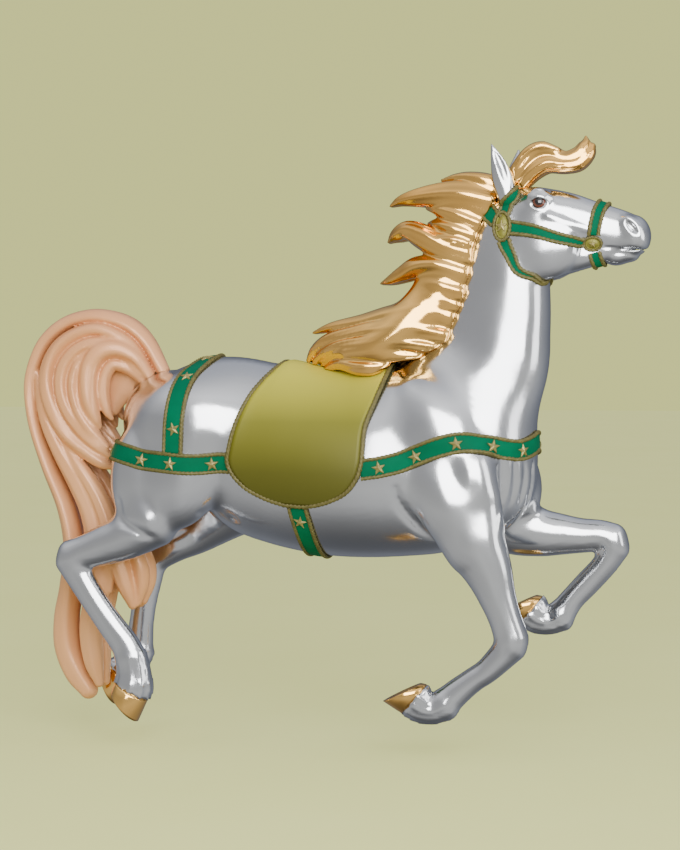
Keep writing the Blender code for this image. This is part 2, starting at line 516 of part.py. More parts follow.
# Where the mane's roots end on the neck, as height and place along the horse
MANE_ROOTS = [
    (0.436, 0.080), (0.468, 0.117), (0.478, 0.177), (0.516, 0.245), (0.569, 0.262), (0.620, 0.286),
    (0.656, 0.292), (0.695, 0.304), (0.739, 0.308), (0.773, 0.320), (0.816, 0.341), (0.858, 0.358),
    (0.900, 0.380), (0.980, 0.396),
]
TAIL_LOCKS = [
    [(-0.462, 0.0, 0.440, 0.014, 0.024), (-0.503, 0.0, 0.515, 0.016, 0.034),
     (-0.550, 0.0, 0.557, 0.018, 0.042), (-0.612, 0.0, 0.575, 0.018, 0.046),
     (-0.664, 0.0, 0.571, 0.018, 0.048), (-0.710, 0.0, 0.552, 0.018, 0.048),
     (-0.748, 0.0, 0.518, 0.018, 0.048), (-0.772, 0.0, 0.474, 0.018, 0.048),
     (-0.787, 0.0, 0.416, 0.018, 0.048), (-0.784, 0.0, 0.350, 0.018, 0.048),
     (-0.772, 0.0, 0.290, 0.018, 0.046), (-0.744, 0.0, 0.209, 0.019, 0.046),
     (-0.706, 0.0, 0.112, 0.020, 0.044), (-0.688, 0.0, 0.015, 0.022, 0.044),
     (-0.696, 0.0, -0.083, 0.025, 0.042), (-0.708, 0.0, -0.156, 0.027, 0.040),
     (-0.707, 0.0, -0.226, 0.028, 0.038), (-0.684, 0.0, -0.290, 0.027, 0.034),
     (-0.655, 0.0, -0.334, 0.020, 0.026)],
    [(-0.778, -0.030, 0.440, 0.007, 0.010), (-0.768, -0.034, 0.380, 0.013, 0.024),
     (-0.750, -0.036, 0.316, 0.018, 0.028), (-0.718, -0.038, 0.248, 0.021, 0.030),
     (-0.680, -0.038, 0.180, 0.023, 0.032), (-0.648, -0.036, 0.108, 0.023, 0.032),
     (-0.630, -0.034, 0.015, 0.024, 0.032), (-0.632, -0.032, -0.083, 0.026, 0.030),
     (-0.648, -0.028, -0.180, 0.026, 0.028), (-0.642, -0.024, -0.262, 0.022, 0.024),
     (-0.628, -0.020, -0.316, 0.010, 0.014)],
    [(-0.708, -0.048, 0.266, 0.008, 0.012), (-0.668, -0.050, 0.206, 0.015, 0.022),
     (-0.628, -0.048, 0.140, 0.019, 0.026), (-0.604, -0.044, 0.070, 0.021, 0.028),
     (-0.604, -0.038, -0.010, 0.022, 0.026), (-0.604, -0.030, -0.086, 0.010, 0.012)],
    [(-0.500, -0.020, 0.440, 0.010, 0.018), (-0.548, -0.030, 0.510, 0.014, 0.026),
     (-0.614, -0.036, 0.545, 0.015, 0.030), (-0.670, -0.040, 0.538, 0.016, 0.032),
     (-0.718, -0.042, 0.506, 0.018, 0.034), (-0.746, -0.044, 0.456, 0.019, 0.034),
     (-0.750, -0.046, 0.402, 0.019, 0.034), (-0.732, -0.048, 0.342, 0.019, 0.032),
     (-0.700, -0.050, 0.290, 0.019, 0.030), (-0.656, -0.050, 0.252, 0.018, 0.028),
     (-0.618, -0.048, 0.224, 0.014, 0.022), (-0.592, -0.044, 0.212, 0.006, 0.009)],
    [(-0.520, -0.026, 0.440, 0.010, 0.018), (-0.575, -0.040, 0.502, 0.015, 0.024),
     (-0.630, -0.048, 0.512, 0.017, 0.028), (-0.676, -0.052, 0.495, 0.018, 0.030),
     (-0.708, -0.054, 0.456, 0.018, 0.030), (-0.716, -0.056, 0.406, 0.017, 0.030),
     (-0.702, -0.058, 0.354, 0.017, 0.028), (-0.670, -0.058, 0.306, 0.017, 0.026),
     (-0.632, -0.056, 0.268, 0.015, 0.022), (-0.600, -0.050, 0.240, 0.006, 0.009)],
    [(-0.640, -0.050, 0.494, 0.010, 0.018), (-0.674, -0.058, 0.462, 0.013, 0.024),
     (-0.687, -0.062, 0.410, 0.013, 0.026), (-0.675, -0.064, 0.352, 0.013, 0.024),
     (-0.645, -0.062, 0.304, 0.013, 0.022), (-0.606, -0.056, 0.262, 0.006, 0.009)],
    [(-0.498, -0.024, 0.430, 0.010, 0.016), (-0.534, -0.040, 0.478, 0.014, 0.022),
     (-0.580, -0.052, 0.500, 0.019, 0.026), (-0.622, -0.060, 0.492, 0.021, 0.028),
     (-0.646, -0.064, 0.460, 0.021, 0.028), (-0.653, -0.066, 0.418, 0.020, 0.028),
     (-0.649, -0.066, 0.370, 0.018, 0.026), (-0.634, -0.062, 0.330, 0.012, 0.018),
     (-0.624, -0.058, 0.312, 0.005, 0.007)],
    [(-0.508, -0.020, 0.415, 0.009, 0.014), (-0.548, -0.034, 0.450, 0.013, 0.018),
     (-0.588, -0.042, 0.462, 0.014, 0.020), (-0.610, -0.046, 0.436, 0.014, 0.020),
     (-0.616, -0.046, 0.391, 0.014, 0.020), (-0.606, -0.042, 0.350, 0.011, 0.016),
     (-0.594, -0.038, 0.330, 0.005, 0.007)],
    [(-0.613, -0.036, 0.087, 0.016, 0.020), (-0.585, -0.040, 0.002, 0.022, 0.026),
     (-0.561, -0.036, -0.072, 0.020, 0.024), (-0.544, -0.028, -0.124, 0.010, 0.012)],
    [(-0.572, -0.024, 0.070, 0.012, 0.018), (-0.530, -0.026, -0.010, 0.017, 0.022),
     (-0.520, -0.024, -0.064, 0.016, 0.020), (-0.530, -0.020, -0.118, 0.008, 0.010)],
    [(-0.505, 0.0, 0.440, 0.022, 0.016), (-0.550, 0.0, 0.440, 0.040, 0.020),
     (-0.585, 0.0, 0.405, 0.046, 0.020), (-0.600, 0.0, 0.352, 0.024, 0.016)],
]
MIDDLE = (-0.025, 0.318)
SPREAD = 0.046


def spread_out(rows):
    """The tail's rows, drawn at the scale of the horse's middle, let out with their distance from it."""
    rows = np.array(rows, float)
    reach = MIDDLE[0] - rows[:, 0]
    grow = 1 + SPREAD * reach - 0.2 * np.abs(rows[:, 1])
    rows[:, 0] = MIDDLE[0] - reach * grow + 0.23 * np.abs(rows[:, 1])
    rows[:, 2] = MIDDLE[1] + (rows[:, 2] - MIDDLE[1]) * grow
    return rows


def gathered(rows):
    """A lock's rows, with its tip drawn in to the middle so that both sides end in one point."""
    rows = np.array(rows, float)
    along = np.linspace(0, 1, len(rows))
    rows[:, 1] *= 1 - 0.8 * along**3
    return rows


FORELOCK_LOCKS = [
    [(0.389, 0.0, 0.893, 0.020, 0.030), (0.421, 0.0, 0.928, 0.021, 0.034),
     (0.450, 0.0, 0.958, 0.021, 0.034), (0.483, 0.0, 0.963, 0.019, 0.032),
     (0.519, 0.0, 0.949, 0.017, 0.030), (0.550, 0.0, 0.957, 0.018, 0.028),
     (0.567, 0.0, 0.983, 0.012, 0.018), (0.569, 0.0, 1.001, 0.003, 0.004)],
    [(0.421, -0.012, 0.897, 0.017, 0.020), (0.446, -0.016, 0.920, 0.017, 0.022),
     (0.479, -0.018, 0.937, 0.017, 0.022), (0.519, -0.016, 0.933, 0.015, 0.020),
     (0.554, -0.012, 0.938, 0.014, 0.018), (0.577, -0.006, 0.960, 0.012, 0.015),
     (0.584, 0.0, 0.978, 0.006, 0.009)],
    [(0.382, -0.014, 0.895, 0.008, 0.012), (0.405, -0.022, 0.929, 0.010, 0.014),
     (0.433, -0.026, 0.965, 0.010, 0.014), (0.467, -0.026, 0.979, 0.010, 0.014),
     (0.504, -0.022, 0.970, 0.006, 0.010)],
]
FAR_SHIFT = (0.002, 0, -0.001, 0, 0)


def hair_form(points, locks, far_shift, blend=0.009, fuller=1.15):
    """Locks on the show side, and the same ones a little lower and plainer on the far side."""
    field = np.full(len(points), FAR)
    for lock in locks:
        rows = np.array(lock) * (1, 1, 1, fuller, 1)
        add_limb(field, points, rows, blend, steps=5)
        if np.abs(rows[:, 1]).max() > 0:
            add_limb(field, points, rows * (1, -1, 1, 1, 1) + far_shift, blend, steps=5)
    return field


HAIR_GAP = 0.0045
BLANKET_GAP = 0.0150


def above_body(field, points, gap):
    """What of a form stands clear of the body by the gap."""
    inside = field < 0.03
    gap = np.broadcast_to(gap, len(points))[inside]
    field[inside] = np.maximum(field[inside], gap - horse_form(points[inside]))
    return field


def past_roots(points):
    """Distance in side view in front of the line where the mane's roots end, negative behind it."""
    rows = np.array(MANE_ROOTS)[:, ::-1]
    spots = points[:, [0, 2]]
    nearest = np.full(len(points), 1e9)
    for start, end in zip(rows, rows[1:]):
        run = end - start
        t = np.clip((spots - start) @ run / (run @ run), 0, 1)
        nearest = np.minimum(nearest, ((spots - start - t[:, None] * run) ** 2).sum(1))
    ahead = points[:, 0] > np.interp(points[:, 2], rows[:, 1], rows[:, 0])
    return np.where(ahead, 1, -1) * np.sqrt(nearest)


def mane_form(points):
    over_blanket = np.clip((0.135 - points[:, 0]) / 0.02, 0, 1)
    gap = HAIR_GAP + (BLANKET_GAP - HAIR_GAP) * over_blanket
    locks = [gathered(lock) for lock in MANE_LOCKS] + [MANE_SHEET]
    field = hair_form(points, locks, FAR_SHIFT, blend=0.014)
    field = smooth_cut(field, -past_roots(points), 0.022)
    return above_body(field, points, gap)


def tail_form(points):
    locks = [spread_out(lock) for lock in TAIL_LOCKS]
    return above_body(hair_form(points, locks, FAR_SHIFT), points, HAIR_GAP)


def forelock_form(points):
    return above_body(hair_form(points, FORELOCK_LOCKS, (0, 0, 0, 0, 0)), points, HAIR_GAP)


FORMS = {
    "horse_body": (horse_form, (-0.76, -0.24, -0.42), (0.76, 0.24, 1.02)),
    "mane": (mane_form, (-0.14, -0.12, 0.41), (0.44, 0.12, 0.96)),
    "tail": (tail_form, (-0.87, -0.12, -0.41), (-0.42, 0.12, 0.64)),
    "forelock": (forelock_form, (0.36, -0.06, 0.86), (0.64, 0.06, 1.05)),
}


# Meshing

BLOCK = 4


def graded(low, high, cell):
    count = BLOCK * math.ceil((high - low) / cell / BLOCK)
    return low + np.arange(count + 1) * (high - low) / count


def surface_mesh(name, form, low, high, cell, level=0.0):
    """A closed quad mesh of the form, sampled on a grid only in the blocks that the surface crosses."""
    axes = [graded(a, b, cell) for a, b in zip(low, high)]
    coarse = np.stack(np.meshgrid(*[a[::BLOCK] for a in axes], indexing="ij"), -1)
    rough = form(coarse.reshape(-1, 3)).reshape(coarse.shape[:3])
    reach = BLOCK * cell * 1.9
    crossed = np.abs(rough) < reach
    active = np.zeros([n - 1 for n in rough.shape], bool)
    for dx in (0, 1):
        for dy in (0, 1):
            for dz in (0, 1):
                active |= crossed[dx:dx + active.shape[0], dy:dy + active.shape[1], dz:dz + active.shape[2]]
    fine_active = np.zeros([len(a) for a in axes], bool)
    values = np.zeros(fine_active.shape, np.float32)
    spread = active.repeat(BLOCK, 0).repeat(BLOCK, 1).repeat(BLOCK, 2)
    for dx in (0, 1):
        for dy in (0, 1):
            for dz in (0, 1):
                fine_active[dx:dx + spread.shape[0], dy:dy + spread.shape[1], dz:dz + spread.shape[2]] |= spread
    index = [np.minimum((np.arange(len(a)) + BLOCK // 2) // BLOCK, rough.shape[k] - 1) for k, a in enumerate(axes)]
    values[:] = rough[np.ix_(*index)]
    i, j, k = np.nonzero(fine_active)
    values[i, j, k] = form(np.stack([axes[0][i], axes[1][j], axes[2][k]], 1))
    grid = openvdb.FloatGrid(FAR)
    grid.copyFromArray(values)
    places, quads = grid.convertToQuads(level)
    places = np.stack([np.interp(places[:, n], np.arange(len(axes[n])), axes[n]) for n in range(3)], 1)
    mesh = bpy.data.meshes.new(name)
    mesh.from_pydata(places.tolist(), [], quads.tolist())
    mesh.update()
    return mesh


# Trappings. They are laid on the body by moving points along its form's gradient.

BACK_HEIGHT = 0.0038


def gradient(form, points, step=0.0015):
    lifts = np.vstack([np.eye(3), -np.eye(3)]) * step
    values = form((points + lifts[:, None, :]).reshape(-1, 3)).reshape(6, -1)
    return ((values[:3] - values[3:]) / (2 * step)).T


def settle(form, points, height, rounds=4):
    """Moves the points straight to the wanted height above the form."""
    for _ in range(rounds):
        slope = gradient(form, points)
        points = points - slope * ((form(points) - height) / (slope**2).sum(1))[:, None]
    return points


def raised(form, points, height, rounds=3):
    """The points laid on the form and then lifted off it by the height."""
    points = settle(form, points, 0.0, rounds)
    slope = gradient(form, points)
    return points + slope / np.linalg.norm(slope, axis=1, keepdims=True) * height


def along_path(form, waypoints, step, closed=False):
    """Evenly spaced points on the form under a path, with the path's direction and side there."""
    rows = np.array(waypoints, float)
    if closed:
        rows = np.vstack([rows[-2:], rows, rows[:2]])
    dense = spline(rows, 12)
    if closed:
        dense = dense[24:-24 + 1 or None][: 12 * (len(waypoints)) + 1]
    dense = settle(form, dense, 0.0, 5)
    length = np.concatenate([[0], np.cumsum(np.linalg.norm(np.diff(dense, axis=0), axis=1))])
    count = max(2, round(length[-1] / step))
    stations = np.linspace(0, length[-1], count + 1)
    if closed:
        stations = stations[:-1]
    places = np.stack([np.interp(stations, length, dense[:, n]) for n in range(3)], 1)
    if closed:
        tangent = np.roll(places, -1, 0) - np.roll(places, 1, 0)
    else:
        tangent = np.gradient(places, axis=0)
    tangent /= np.linalg.norm(tangent, axis=1, keepdims=True)
    normal = gradient(form, places)
    normal /= np.linalg.norm(normal, axis=1, keepdims=True)
    side = np.cross(normal, tangent)
    side /= np.linalg.norm(side, axis=1, keepdims=True)
    return places, tangent, side, normal


def laid_band(name, form, waypoints, profile, step, closed=False, under=BACK_HEIGHT):
    """A band along a path on the form. The profile lists places across it with their heights."""
    places, tangent, side, normal = along_path(form, waypoints, step, closed)
    rings = []
    for across, height in profile:
        rings.append(raised(form, places + side * across, height))
    left, right = profile[0][0], profile[-1][0]
    rings.append(raised(form, places + side * right, under))
    rings.append(raised(form, places + side * left, under))
    mesh = bmesh.new()
    columns = [[mesh.verts.new(p) for p in ring] for ring in rings]
    count, ways = len(places), len(columns)
    for i in range(count if closed else count - 1):
        j = (i + 1) % count
        for k in range(ways):
            a, b = columns[k - 1], columns[k]
            mesh.faces.new((a[i], a[j], b[j], b[i]))
    if not closed:
        mesh.faces.new([c[0] for c in columns])
        mesh.faces.new([c[-1] for c in columns][::-1])
    return finished(name, mesh)


def strap_profile(width, edge, cord_height, band_height):
    """A flat band with a raised cord along both of its edges."""
    half = width / 2
    return [
        (-half, cord_height), (-half + edge, cord_height), (-half + edge, band_height),
        (half - edge, band_height), (half - edge, cord_height), (half, cord_height),
    ]


STRAP_WIDTH = 0.052
CORD_WIDTH = 0.0085
STRAP_PROFILE = strap_profile(STRAP_WIDTH, CORD_WIDTH, 0.0075, 0.0055)
BRIDLE_WIDTH = 0.032
BRIDLE_CORD_WIDTH = 0.0085
BRIDLE_PROFILE = [(-BRIDLE_WIDTH / 2, 0.006), (BRIDLE_WIDTH / 2, 0.006)]

BREAST_PATH = [
    (0.080, -0.190, 0.222), (0.094, -0.188, 0.224), (0.108, -0.185, 0.226), (0.156, -0.185, 0.238),
    (0.200, -0.185, 0.256), (0.250, -0.180, 0.274), (0.288, -0.175, 0.284), (0.321, -0.165, 0.287),
    (0.353, -0.145, 0.282), (0.382, -0.110, 0.271), (0.410, -0.070, 0.265), (0.434, -0.035, 0.275),
    (0.448, -0.005, 0.284), (0.456, 0.040, 0.276), (0.440, 0.090, 0.270), (0.400, 0.130, 0.280),
    (0.353, 0.150, 0.286), (0.321, 0.165, 0.287), (0.288, 0.175, 0.284), (0.250, 0.180, 0.274),
    (0.200, 0.185, 0.256), (0.156, 0.185, 0.238), (0.108, 0.185, 0.226), (0.094, 0.188, 0.224),
    (0.080, 0.190, 0.222),
]
HIP_PATH = [
    (-0.271, -0.170, 0.230), (-0.284, -0.172, 0.230), (-0.297, -0.175, 0.229),
    (-0.359, -0.180, 0.227), (-0.409, -0.185, 0.231), (-0.477, -0.170, 0.238),
    (-0.525, -0.130, 0.248), (-0.555, -0.070, 0.256), (-0.560, 0.000, 0.258),
    (-0.555, 0.070, 0.256), (-0.525, 0.130, 0.248), (-0.477, 0.170, 0.238),
    (-0.409, 0.185, 0.231), (-0.359, 0.180, 0.227), (-0.297, 0.175, 0.229),
    (-0.284, 0.172, 0.230), (-0.271, 0.170, 0.230),
]
CROUP_PATH = [
    (-0.392, -0.185, 0.261), (-0.391, -0.180, 0.285), (-0.388, -0.165, 0.340),
    (-0.380, -0.135, 0.400), (-0.364, -0.085, 0.455), (-0.350, -0.035, 0.482),
    (-0.346, 0.000, 0.487), (-0.350, 0.035, 0.482), (-0.364, 0.085, 0.455),
    (-0.380, 0.135, 0.400), (-0.388, 0.165, 0.340), (-0.391, 0.180, 0.285),
    (-0.392, 0.185, 0.261),
]
GIRTH_PATH = [
    (-0.089, -0.176, 0.118), (-0.087, -0.170, 0.106), (-0.082, -0.155, 0.080),
    (-0.077, -0.120, 0.045), (-0.074, -0.070, 0.016), (-0.073, 0.000, 0.006),
    (-0.074, 0.070, 0.016), (-0.077, 0.120, 0.045), (-0.082, 0.155, 0.080),
    (-0.087, 0.170, 0.106), (-0.089, 0.176, 0.118),
]
CHEEK_PATH = [
    (0.402, -0.066, 0.786), (0.440, -0.068, 0.780), (0.469, -0.068, 0.773),
    (0.516, -0.060, 0.758), (0.550, -0.052, 0.751), (0.568, -0.048, 0.749),
]
BROW_PATH = [
    (0.383, -0.062, 0.823), (0.390, -0.060, 0.843), (0.398, -0.055, 0.858),
    (0.408, -0.043, 0.871),
]
CROWN_PATH = [
    (0.362, -0.061, 0.805), (0.355, -0.058, 0.812), (0.348, -0.055, 0.820),
    (0.341, -0.051, 0.828),
]
THROAT_PATH = [
    (0.385, -0.066, 0.756), (0.390, -0.066, 0.742), (0.401, -0.066, 0.720),
    (0.411, -0.060, 0.694), (0.420, -0.045, 0.679), (0.424, -0.020, 0.671),
    (0.425, 0.000, 0.669), (0.424, 0.020, 0.671), (0.420, 0.045, 0.679),
    (0.411, 0.060, 0.694), (0.401, 0.066, 0.720), (0.390, 0.066, 0.742),
    (0.385, 0.066, 0.756),
]
NOSE_PATH = [
    (0.592, -0.044, 0.767), (0.594, -0.044, 0.785), (0.602, -0.036, 0.822),
    (0.610, -0.018, 0.839), (0.612, 0.000, 0.842), (0.610, 0.018, 0.839),
    (0.602, 0.036, 0.822), (0.594, 0.044, 0.785), (0.592, 0.044, 0.767),
]
CHIN_PATH = [
    (0.594, -0.040, 0.727), (0.597, -0.030, 0.712), (0.602, -0.012, 0.701),
    (0.603, 0.000, 0.700), (0.602, 0.012, 0.701), (0.597, 0.030, 0.712),
    (0.594, 0.040, 0.727),
]

# The blanket's back and front edge at each angle round the barrel, up from the horizontal
BLANKET_CENTRE_HEIGHT = 0.22
BLANKET_EDGES = [
    (-26.0, -0.118, -0.070), (-24.0, -0.150, -0.036), (-21.0, -0.180, -0.006),
    (-15.5, -0.214, 0.030), (-6.0, -0.243, 0.055), (4.0, -0.257, 0.065), (12.0, -0.256, 0.067),
    (32.0, -0.241, 0.070), (52.0, -0.212, 0.088), (73.0, -0.170, 0.104), (90.0, -0.150, 0.110),
]
BLANKET_THICK = 0.0092
ROPE_RADIUS = 0.0050
BARREL_RADIUS = 0.20


def strike(form, origins, directions, height):
    """Walks each point in from outside to the form and lifts it off by the height."""
    places = origins.copy()
    for _ in range(40):
        places = places + directions * np.minimum(form(places), 0.05)[:, None] * 0.7
    slope = gradient(form, places)
    return places + slope / np.linalg.norm(slope, axis=1, keepdims=True) * height


def round_barrel(form, x, angle, height):
    """The point at a height above the body, at a place along it and an angle round it."""
    angle = np.radians(angle)
    outward = np.stack([0 * angle, -np.cos(angle), np.sin(angle)], 1)
    centre = np.stack([x, 0 * x, 0 * x + BLANKET_CENTRE_HEIGHT], 1)
    return strike(form, centre + outward * 0.34, -outward, height)


def blanket_edges(angles):
    """Back and front edge at the angles, the same on both sides of the horse."""
    table = spline(BLANKET_EDGES, 8)
    angles = np.where(angles > 90, 180 - angles, angles)
    return (np.interp(angles, table[:, 0], table[:, n]) for n in (1, 2))


def blanket_mesh(name, form, rows=26, columns=5, under=BACK_HEIGHT + 0.0030):
    spread = np.linspace(-1, 1, rows + 1)
    angles = 90 + 116 * np.sign(spread) * np.abs(spread) ** 0.85
    back, front = blanket_edges(angles)
    mesh = bmesh.new()
    sheets = []
    for height in (BLANKET_THICK, under):
        sheet = []
        for j in range(columns + 1):
            x = back + (front - back) * j / columns
            sheet.append([mesh.verts.new(p) for p in round_barrel(form, x, angles, height)])
        sheets.append(sheet)
    top, under = sheets
    for j in range(columns):
        for i in range(rows):
            mesh.faces.new((top[j][i], top[j + 1][i], top[j + 1][i + 1], top[j][i + 1]))
            mesh.faces.new((under[j][i], under[j][i + 1], under[j + 1][i + 1], under[j + 1][i]))
    rim = [(j, 0) for j in range(columns)] + [(columns, i) for i in range(rows)]
    rim += [(j, rows) for j in range(columns, 0, -1)] + [(0, i) for i in range(rows, 0, -1)]
    for (j, i), (m, n) in zip(rim, rim[1:] + rim[:1]):
        mesh.faces.new((top[j][i], under[j][i], under[m][n], top[m][n]))
    return finished(name, mesh)


def blanket_rim(form, height, rows=44, outside=0.0):
    """Points round the blanket's edge at a height above the body, as one closed path."""
    spread = np.linspace(-1, 1, rows + 1)
    angles = 90 + 116 * np.sign(spread) * np.abs(spread) ** 0.85
    back, front = blanket_edges(angles)
    x = np.concatenate([back, front[::-1]])
    turn = np.concatenate([angles, angles[::-1]])
    ring = np.stack([x, np.radians(turn) * BARREL_RADIUS], 1)
    along = np.roll(ring, -1, 0) - np.roll(ring, 1, 0)
    along /= np.linalg.norm(along, axis=1, keepdims=True)
    ring = ring + np.stack([-along[:, 1], along[:, 0]], 1) * outside
    return round_barrel(form, ring[:, 0], np.degrees(ring[:, 1] / BARREL_RADIUS), height)


def tube_mesh(name, path, radius, sides=6):
    """A closed ring of round section along a closed path."""
    length = np.concatenate(
        [[0], np.cumsum(np.linalg.norm(np.diff(np.vstack([path, path[:1]]), axis=0), axis=1))]
    )
    ring = np.vstack([path, path[:1]])
    stations = np.linspace(0, length[-1], len(path), endpoint=False)
    path = np.stack([np.interp(stations, length, ring[:, n]) for n in range(3)], 1)
    tangent = np.roll(path, -1, 0) - np.roll(path, 1, 0)
    tangent /= np.linalg.norm(tangent, axis=1, keepdims=True)
    outward = path - np.stack([path[:, 0], 0 * path[:, 0], 0 * path[:, 0] + BLANKET_CENTRE_HEIGHT], 1)
    side = np.cross(tangent, outward)
    side /= np.linalg.norm(side, axis=1, keepdims=True)
    up = np.cross(side, tangent)
    mesh = bmesh.new()
    loops = []
    for k in range(sides):
        angle = 2 * math.pi * (k + 0.5) / sides
        ring = path + radius * (math.cos(angle) * side + math.sin(angle) * up)
        loops.append([mesh.verts.new(p) for p in ring])
    count = len(path)
    for k in range(sides):
        a, b = loops[k - 1], loops[k]
        for i in range(count):
            j = (i + 1) % count
            mesh.faces.new((a[i], a[j], b[j], b[i]))
    return finished(name, mesh)


# Stars and rosettes

STAR_RADIUS = 0.0175
STAR_THICK = 0.0050
STAR_LIFT = 0.0026
STARS = {
    "breast": (BREAST_PATH, STRAP_PROFILE, [
        (0.108, -0.185, 0.226), (0.191, -0.185, 0.253), (0.288, -0.175, 0.284),
        (0.370, -0.130, 0.278), (0.412, -0.068, 0.270), (0.458, 0.040, 0.275),
        (0.420, 0.115, 0.274), (0.340, 0.160, 0.287), (0.245, 0.180, 0.272),
        (0.150, 0.185, 0.236),
    ]),
    "hip": (HIP_PATH, STRAP_PROFILE, [
        (-0.297, -0.175, 0.229), (-0.392, -0.185, 0.229), (-0.477, -0.170, 0.238),
        (-0.545, -0.110, 0.252), (-0.545, 0.110, 0.252), (-0.477, 0.170, 0.238),
        (-0.392, 0.185, 0.229), (-0.297, 0.175, 0.229),
    ]),
    "croup": (CROUP_PATH, STRAP_PROFILE, [
        (-0.390, -0.180, 0.313), (-0.372, -0.115, 0.424), (-0.351, -0.040, 0.480),
        (-0.351, 0.040, 0.480), (-0.372, 0.115, 0.424), (-0.390, 0.180, 0.313),
    ]),
    "girth": (GIRTH_PATH, STRAP_PROFILE, [
        (-0.084, -0.165, 0.095), (-0.084, 0.165, 0.095),
    ]),
}


def star_mesh(name, place, up, outward, radius, thick):
    """A five-pointed star with a ridge down each arm, flat on its back."""
    across = np.cross(up, outward)
    across /= np.linalg.norm(across)
    up = np.cross(outward, across)
    mesh = bmesh.new()
    rim = []
    for k in range(10):
        angle = math.pi * k / 5
        reach = radius if k % 2 == 0 else radius * 0.42
        rim.append(mesh.verts.new(place + reach * (math.cos(angle) * up + math.sin(angle) * across)))
    peak = mesh.verts.new(place + outward * thick)
    for k in range(10):
        mesh.faces.new((rim[k - 1], rim[k], peak))
    mesh.faces.new(rim[::-1])
    return finished(name, mesh)


def star_stand(form, path, profile, guess):
    """Where a star stands on a strap: its place, the direction across the strap and outwards."""
    places, tangent, side, normal = along_path(form, path, 0.01)
    i = np.argmin(((places - np.array(guess)) ** 2).sum(1))
    up = side[i] if side[i][2] > 0 or abs(side[i][2]) < 0.5 else -side[i]
    return places[i] - up * STAR_RADIUS * 0.1, up, normal[i]


def star_lift(form, place, up, outward, height):
    """How far off the body a star's flat back lies to clear the curved strap under it."""
    across = np.cross(up, outward)
    turns = np.arange(10) * math.pi / 5
    rim = place + STAR_RADIUS * (np.cos(turns)[:, None] * up + np.sin(turns)[:, None] * across)
    rim = raised(form, np.vstack([rim, place]), height)
    return ((rim - place) @ outward).max() + STAR_LIFT


OVAL_ROSETTE = ((0.380, -0.062, 0.789), (0.024, 0.038))
ROUND_ROSETTE = ((0.590, -0.045, 0.747), (0.0235, 0.0195))
ROSETTE_THICK = 0.010


def rosette_mesh(name, form, centre, radii, thick, segments=20, bury=0.010):
    """A domed plate with a raised rim, lying on the form."""
    centre = settle(form, np.array([centre]), 0.0)
    outward = gradient(form, centre)[0]
    outward /= np.linalg.norm(outward)
    along = np.array([1.0, 0, 0]) - outward * outward[0]
    along /= np.linalg.norm(along)
    up = np.cross(along, outward)
    up = up if up[2] > 0 else -up
    levels = [(1.0, -bury), (1.0, thick * 0.75), (0.9, thick), (0.70, thick), (0.66, thick * 0.72)]
    mesh = bmesh.new()
    loops = []
    for reach, height in levels:
        loop = []
        for k in range(segments):
            angle = 2 * math.pi * k / segments
            offset = radii[0] * math.cos(angle) * along + radii[1] * math.sin(angle) * up
            loop.append(mesh.verts.new(centre[0] + offset * reach + outward * height))
        loops.append(loop)
    for one, two in zip(loops, loops[1:]):
        for k in range(segments):
            mesh.faces.new((one[k - 1], one[k], two[k], two[k - 1]))
    mesh.faces.new(loops[0])
    mesh.faces.new(loops[-1])
    return finished(name, mesh)


EYE_PLACE = (0.465, -0.0580, 0.846)
EYE_RADIUS = 0.0145


COLLECTION = "carousel_horse"
MATERIALS = {
    "chrome": ((0.63, 0.65, 0.68), 1.0, 0.10),
    "gold": ((0.80, 0.56, 0.27), 1.0, 0.14),
    "satin_peach": ((0.80, 0.60, 0.46), 0.3, 0.35),
    "olive": ((0.52, 0.49, 0.22), 0.2, 0.45),
    "khaki_rope": ((0.44, 0.40, 0.20), 0.4, 0.45),
    "green_satin": ((0.0, 0.42, 0.32), 0.4, 0.35),
    "khaki_gold": ((0.50, 0.45, 0.26), 0.5, 0.35),
    "olive_gold": ((0.50, 0.48, 0.14), 0.6, 0.35),
    "eye_brown": ((0.05, 0.025, 0.02), 0.0, 0.06),
}
FINISHES = (
    ("horse_body", "chrome"), ("mane", "gold"), ("forelock", "gold"), ("hoof", "gold"),
    ("tail", "satin_peach"), ("saddle_blanket", "olive"), ("blanket_trim", "khaki_rope"),
    ("star", "khaki_gold"), ("oval_rosette", "olive_gold"), ("round_rosette", "olive_gold"),
    ("eye", "eye_brown"), ("", "green_satin"),
)


def finish_of(name):
    """The material that a piece of this name is finished in; the bands are all green."""
    finish = next(finish for start, finish in FINISHES if name.startswith(start))
    if finish not in bpy.data.materials:
        colour, metallic, roughness = MATERIALS[finish]
        material = bpy.data.materials.new(finish)
        material.use_nodes = True
        shader = material.node_tree.nodes["Principled BSDF"]
        shader.inputs["Base Color"].default_value = (*colour, 1.0)
        shader.inputs["Metallic"].default_value = metallic
        shader.inputs["Roughness"].default_value = roughness
    return bpy.data.materials[finish]


def solid(name, mesh):
    """Adds a mesh to the horse's collection as one solid."""
    if COLLECTION not in bpy.data.collections:
        bpy.context.scene.collection.children.link(bpy.data.collections.new(COLLECTION))
    mesh.materials.clear()
    mesh.materials.append(finish_of(name))
    thing = bpy.data.objects.new(name, mesh)
    bpy.data.collections[COLLECTION].objects.link(thing)
    return thing


def evaluated(thing):
    """The object's mesh with its modifiers applied, which replaces the one it had."""
    depsgraph = bpy.context.evaluated_depsgraph_get()
    mesh = bpy.data.meshes.new_from_object(thing.evaluated_get(depsgraph))
    thing.modifiers.clear()
    thing.data = mesh
    mesh.name = thing.name
    return thing


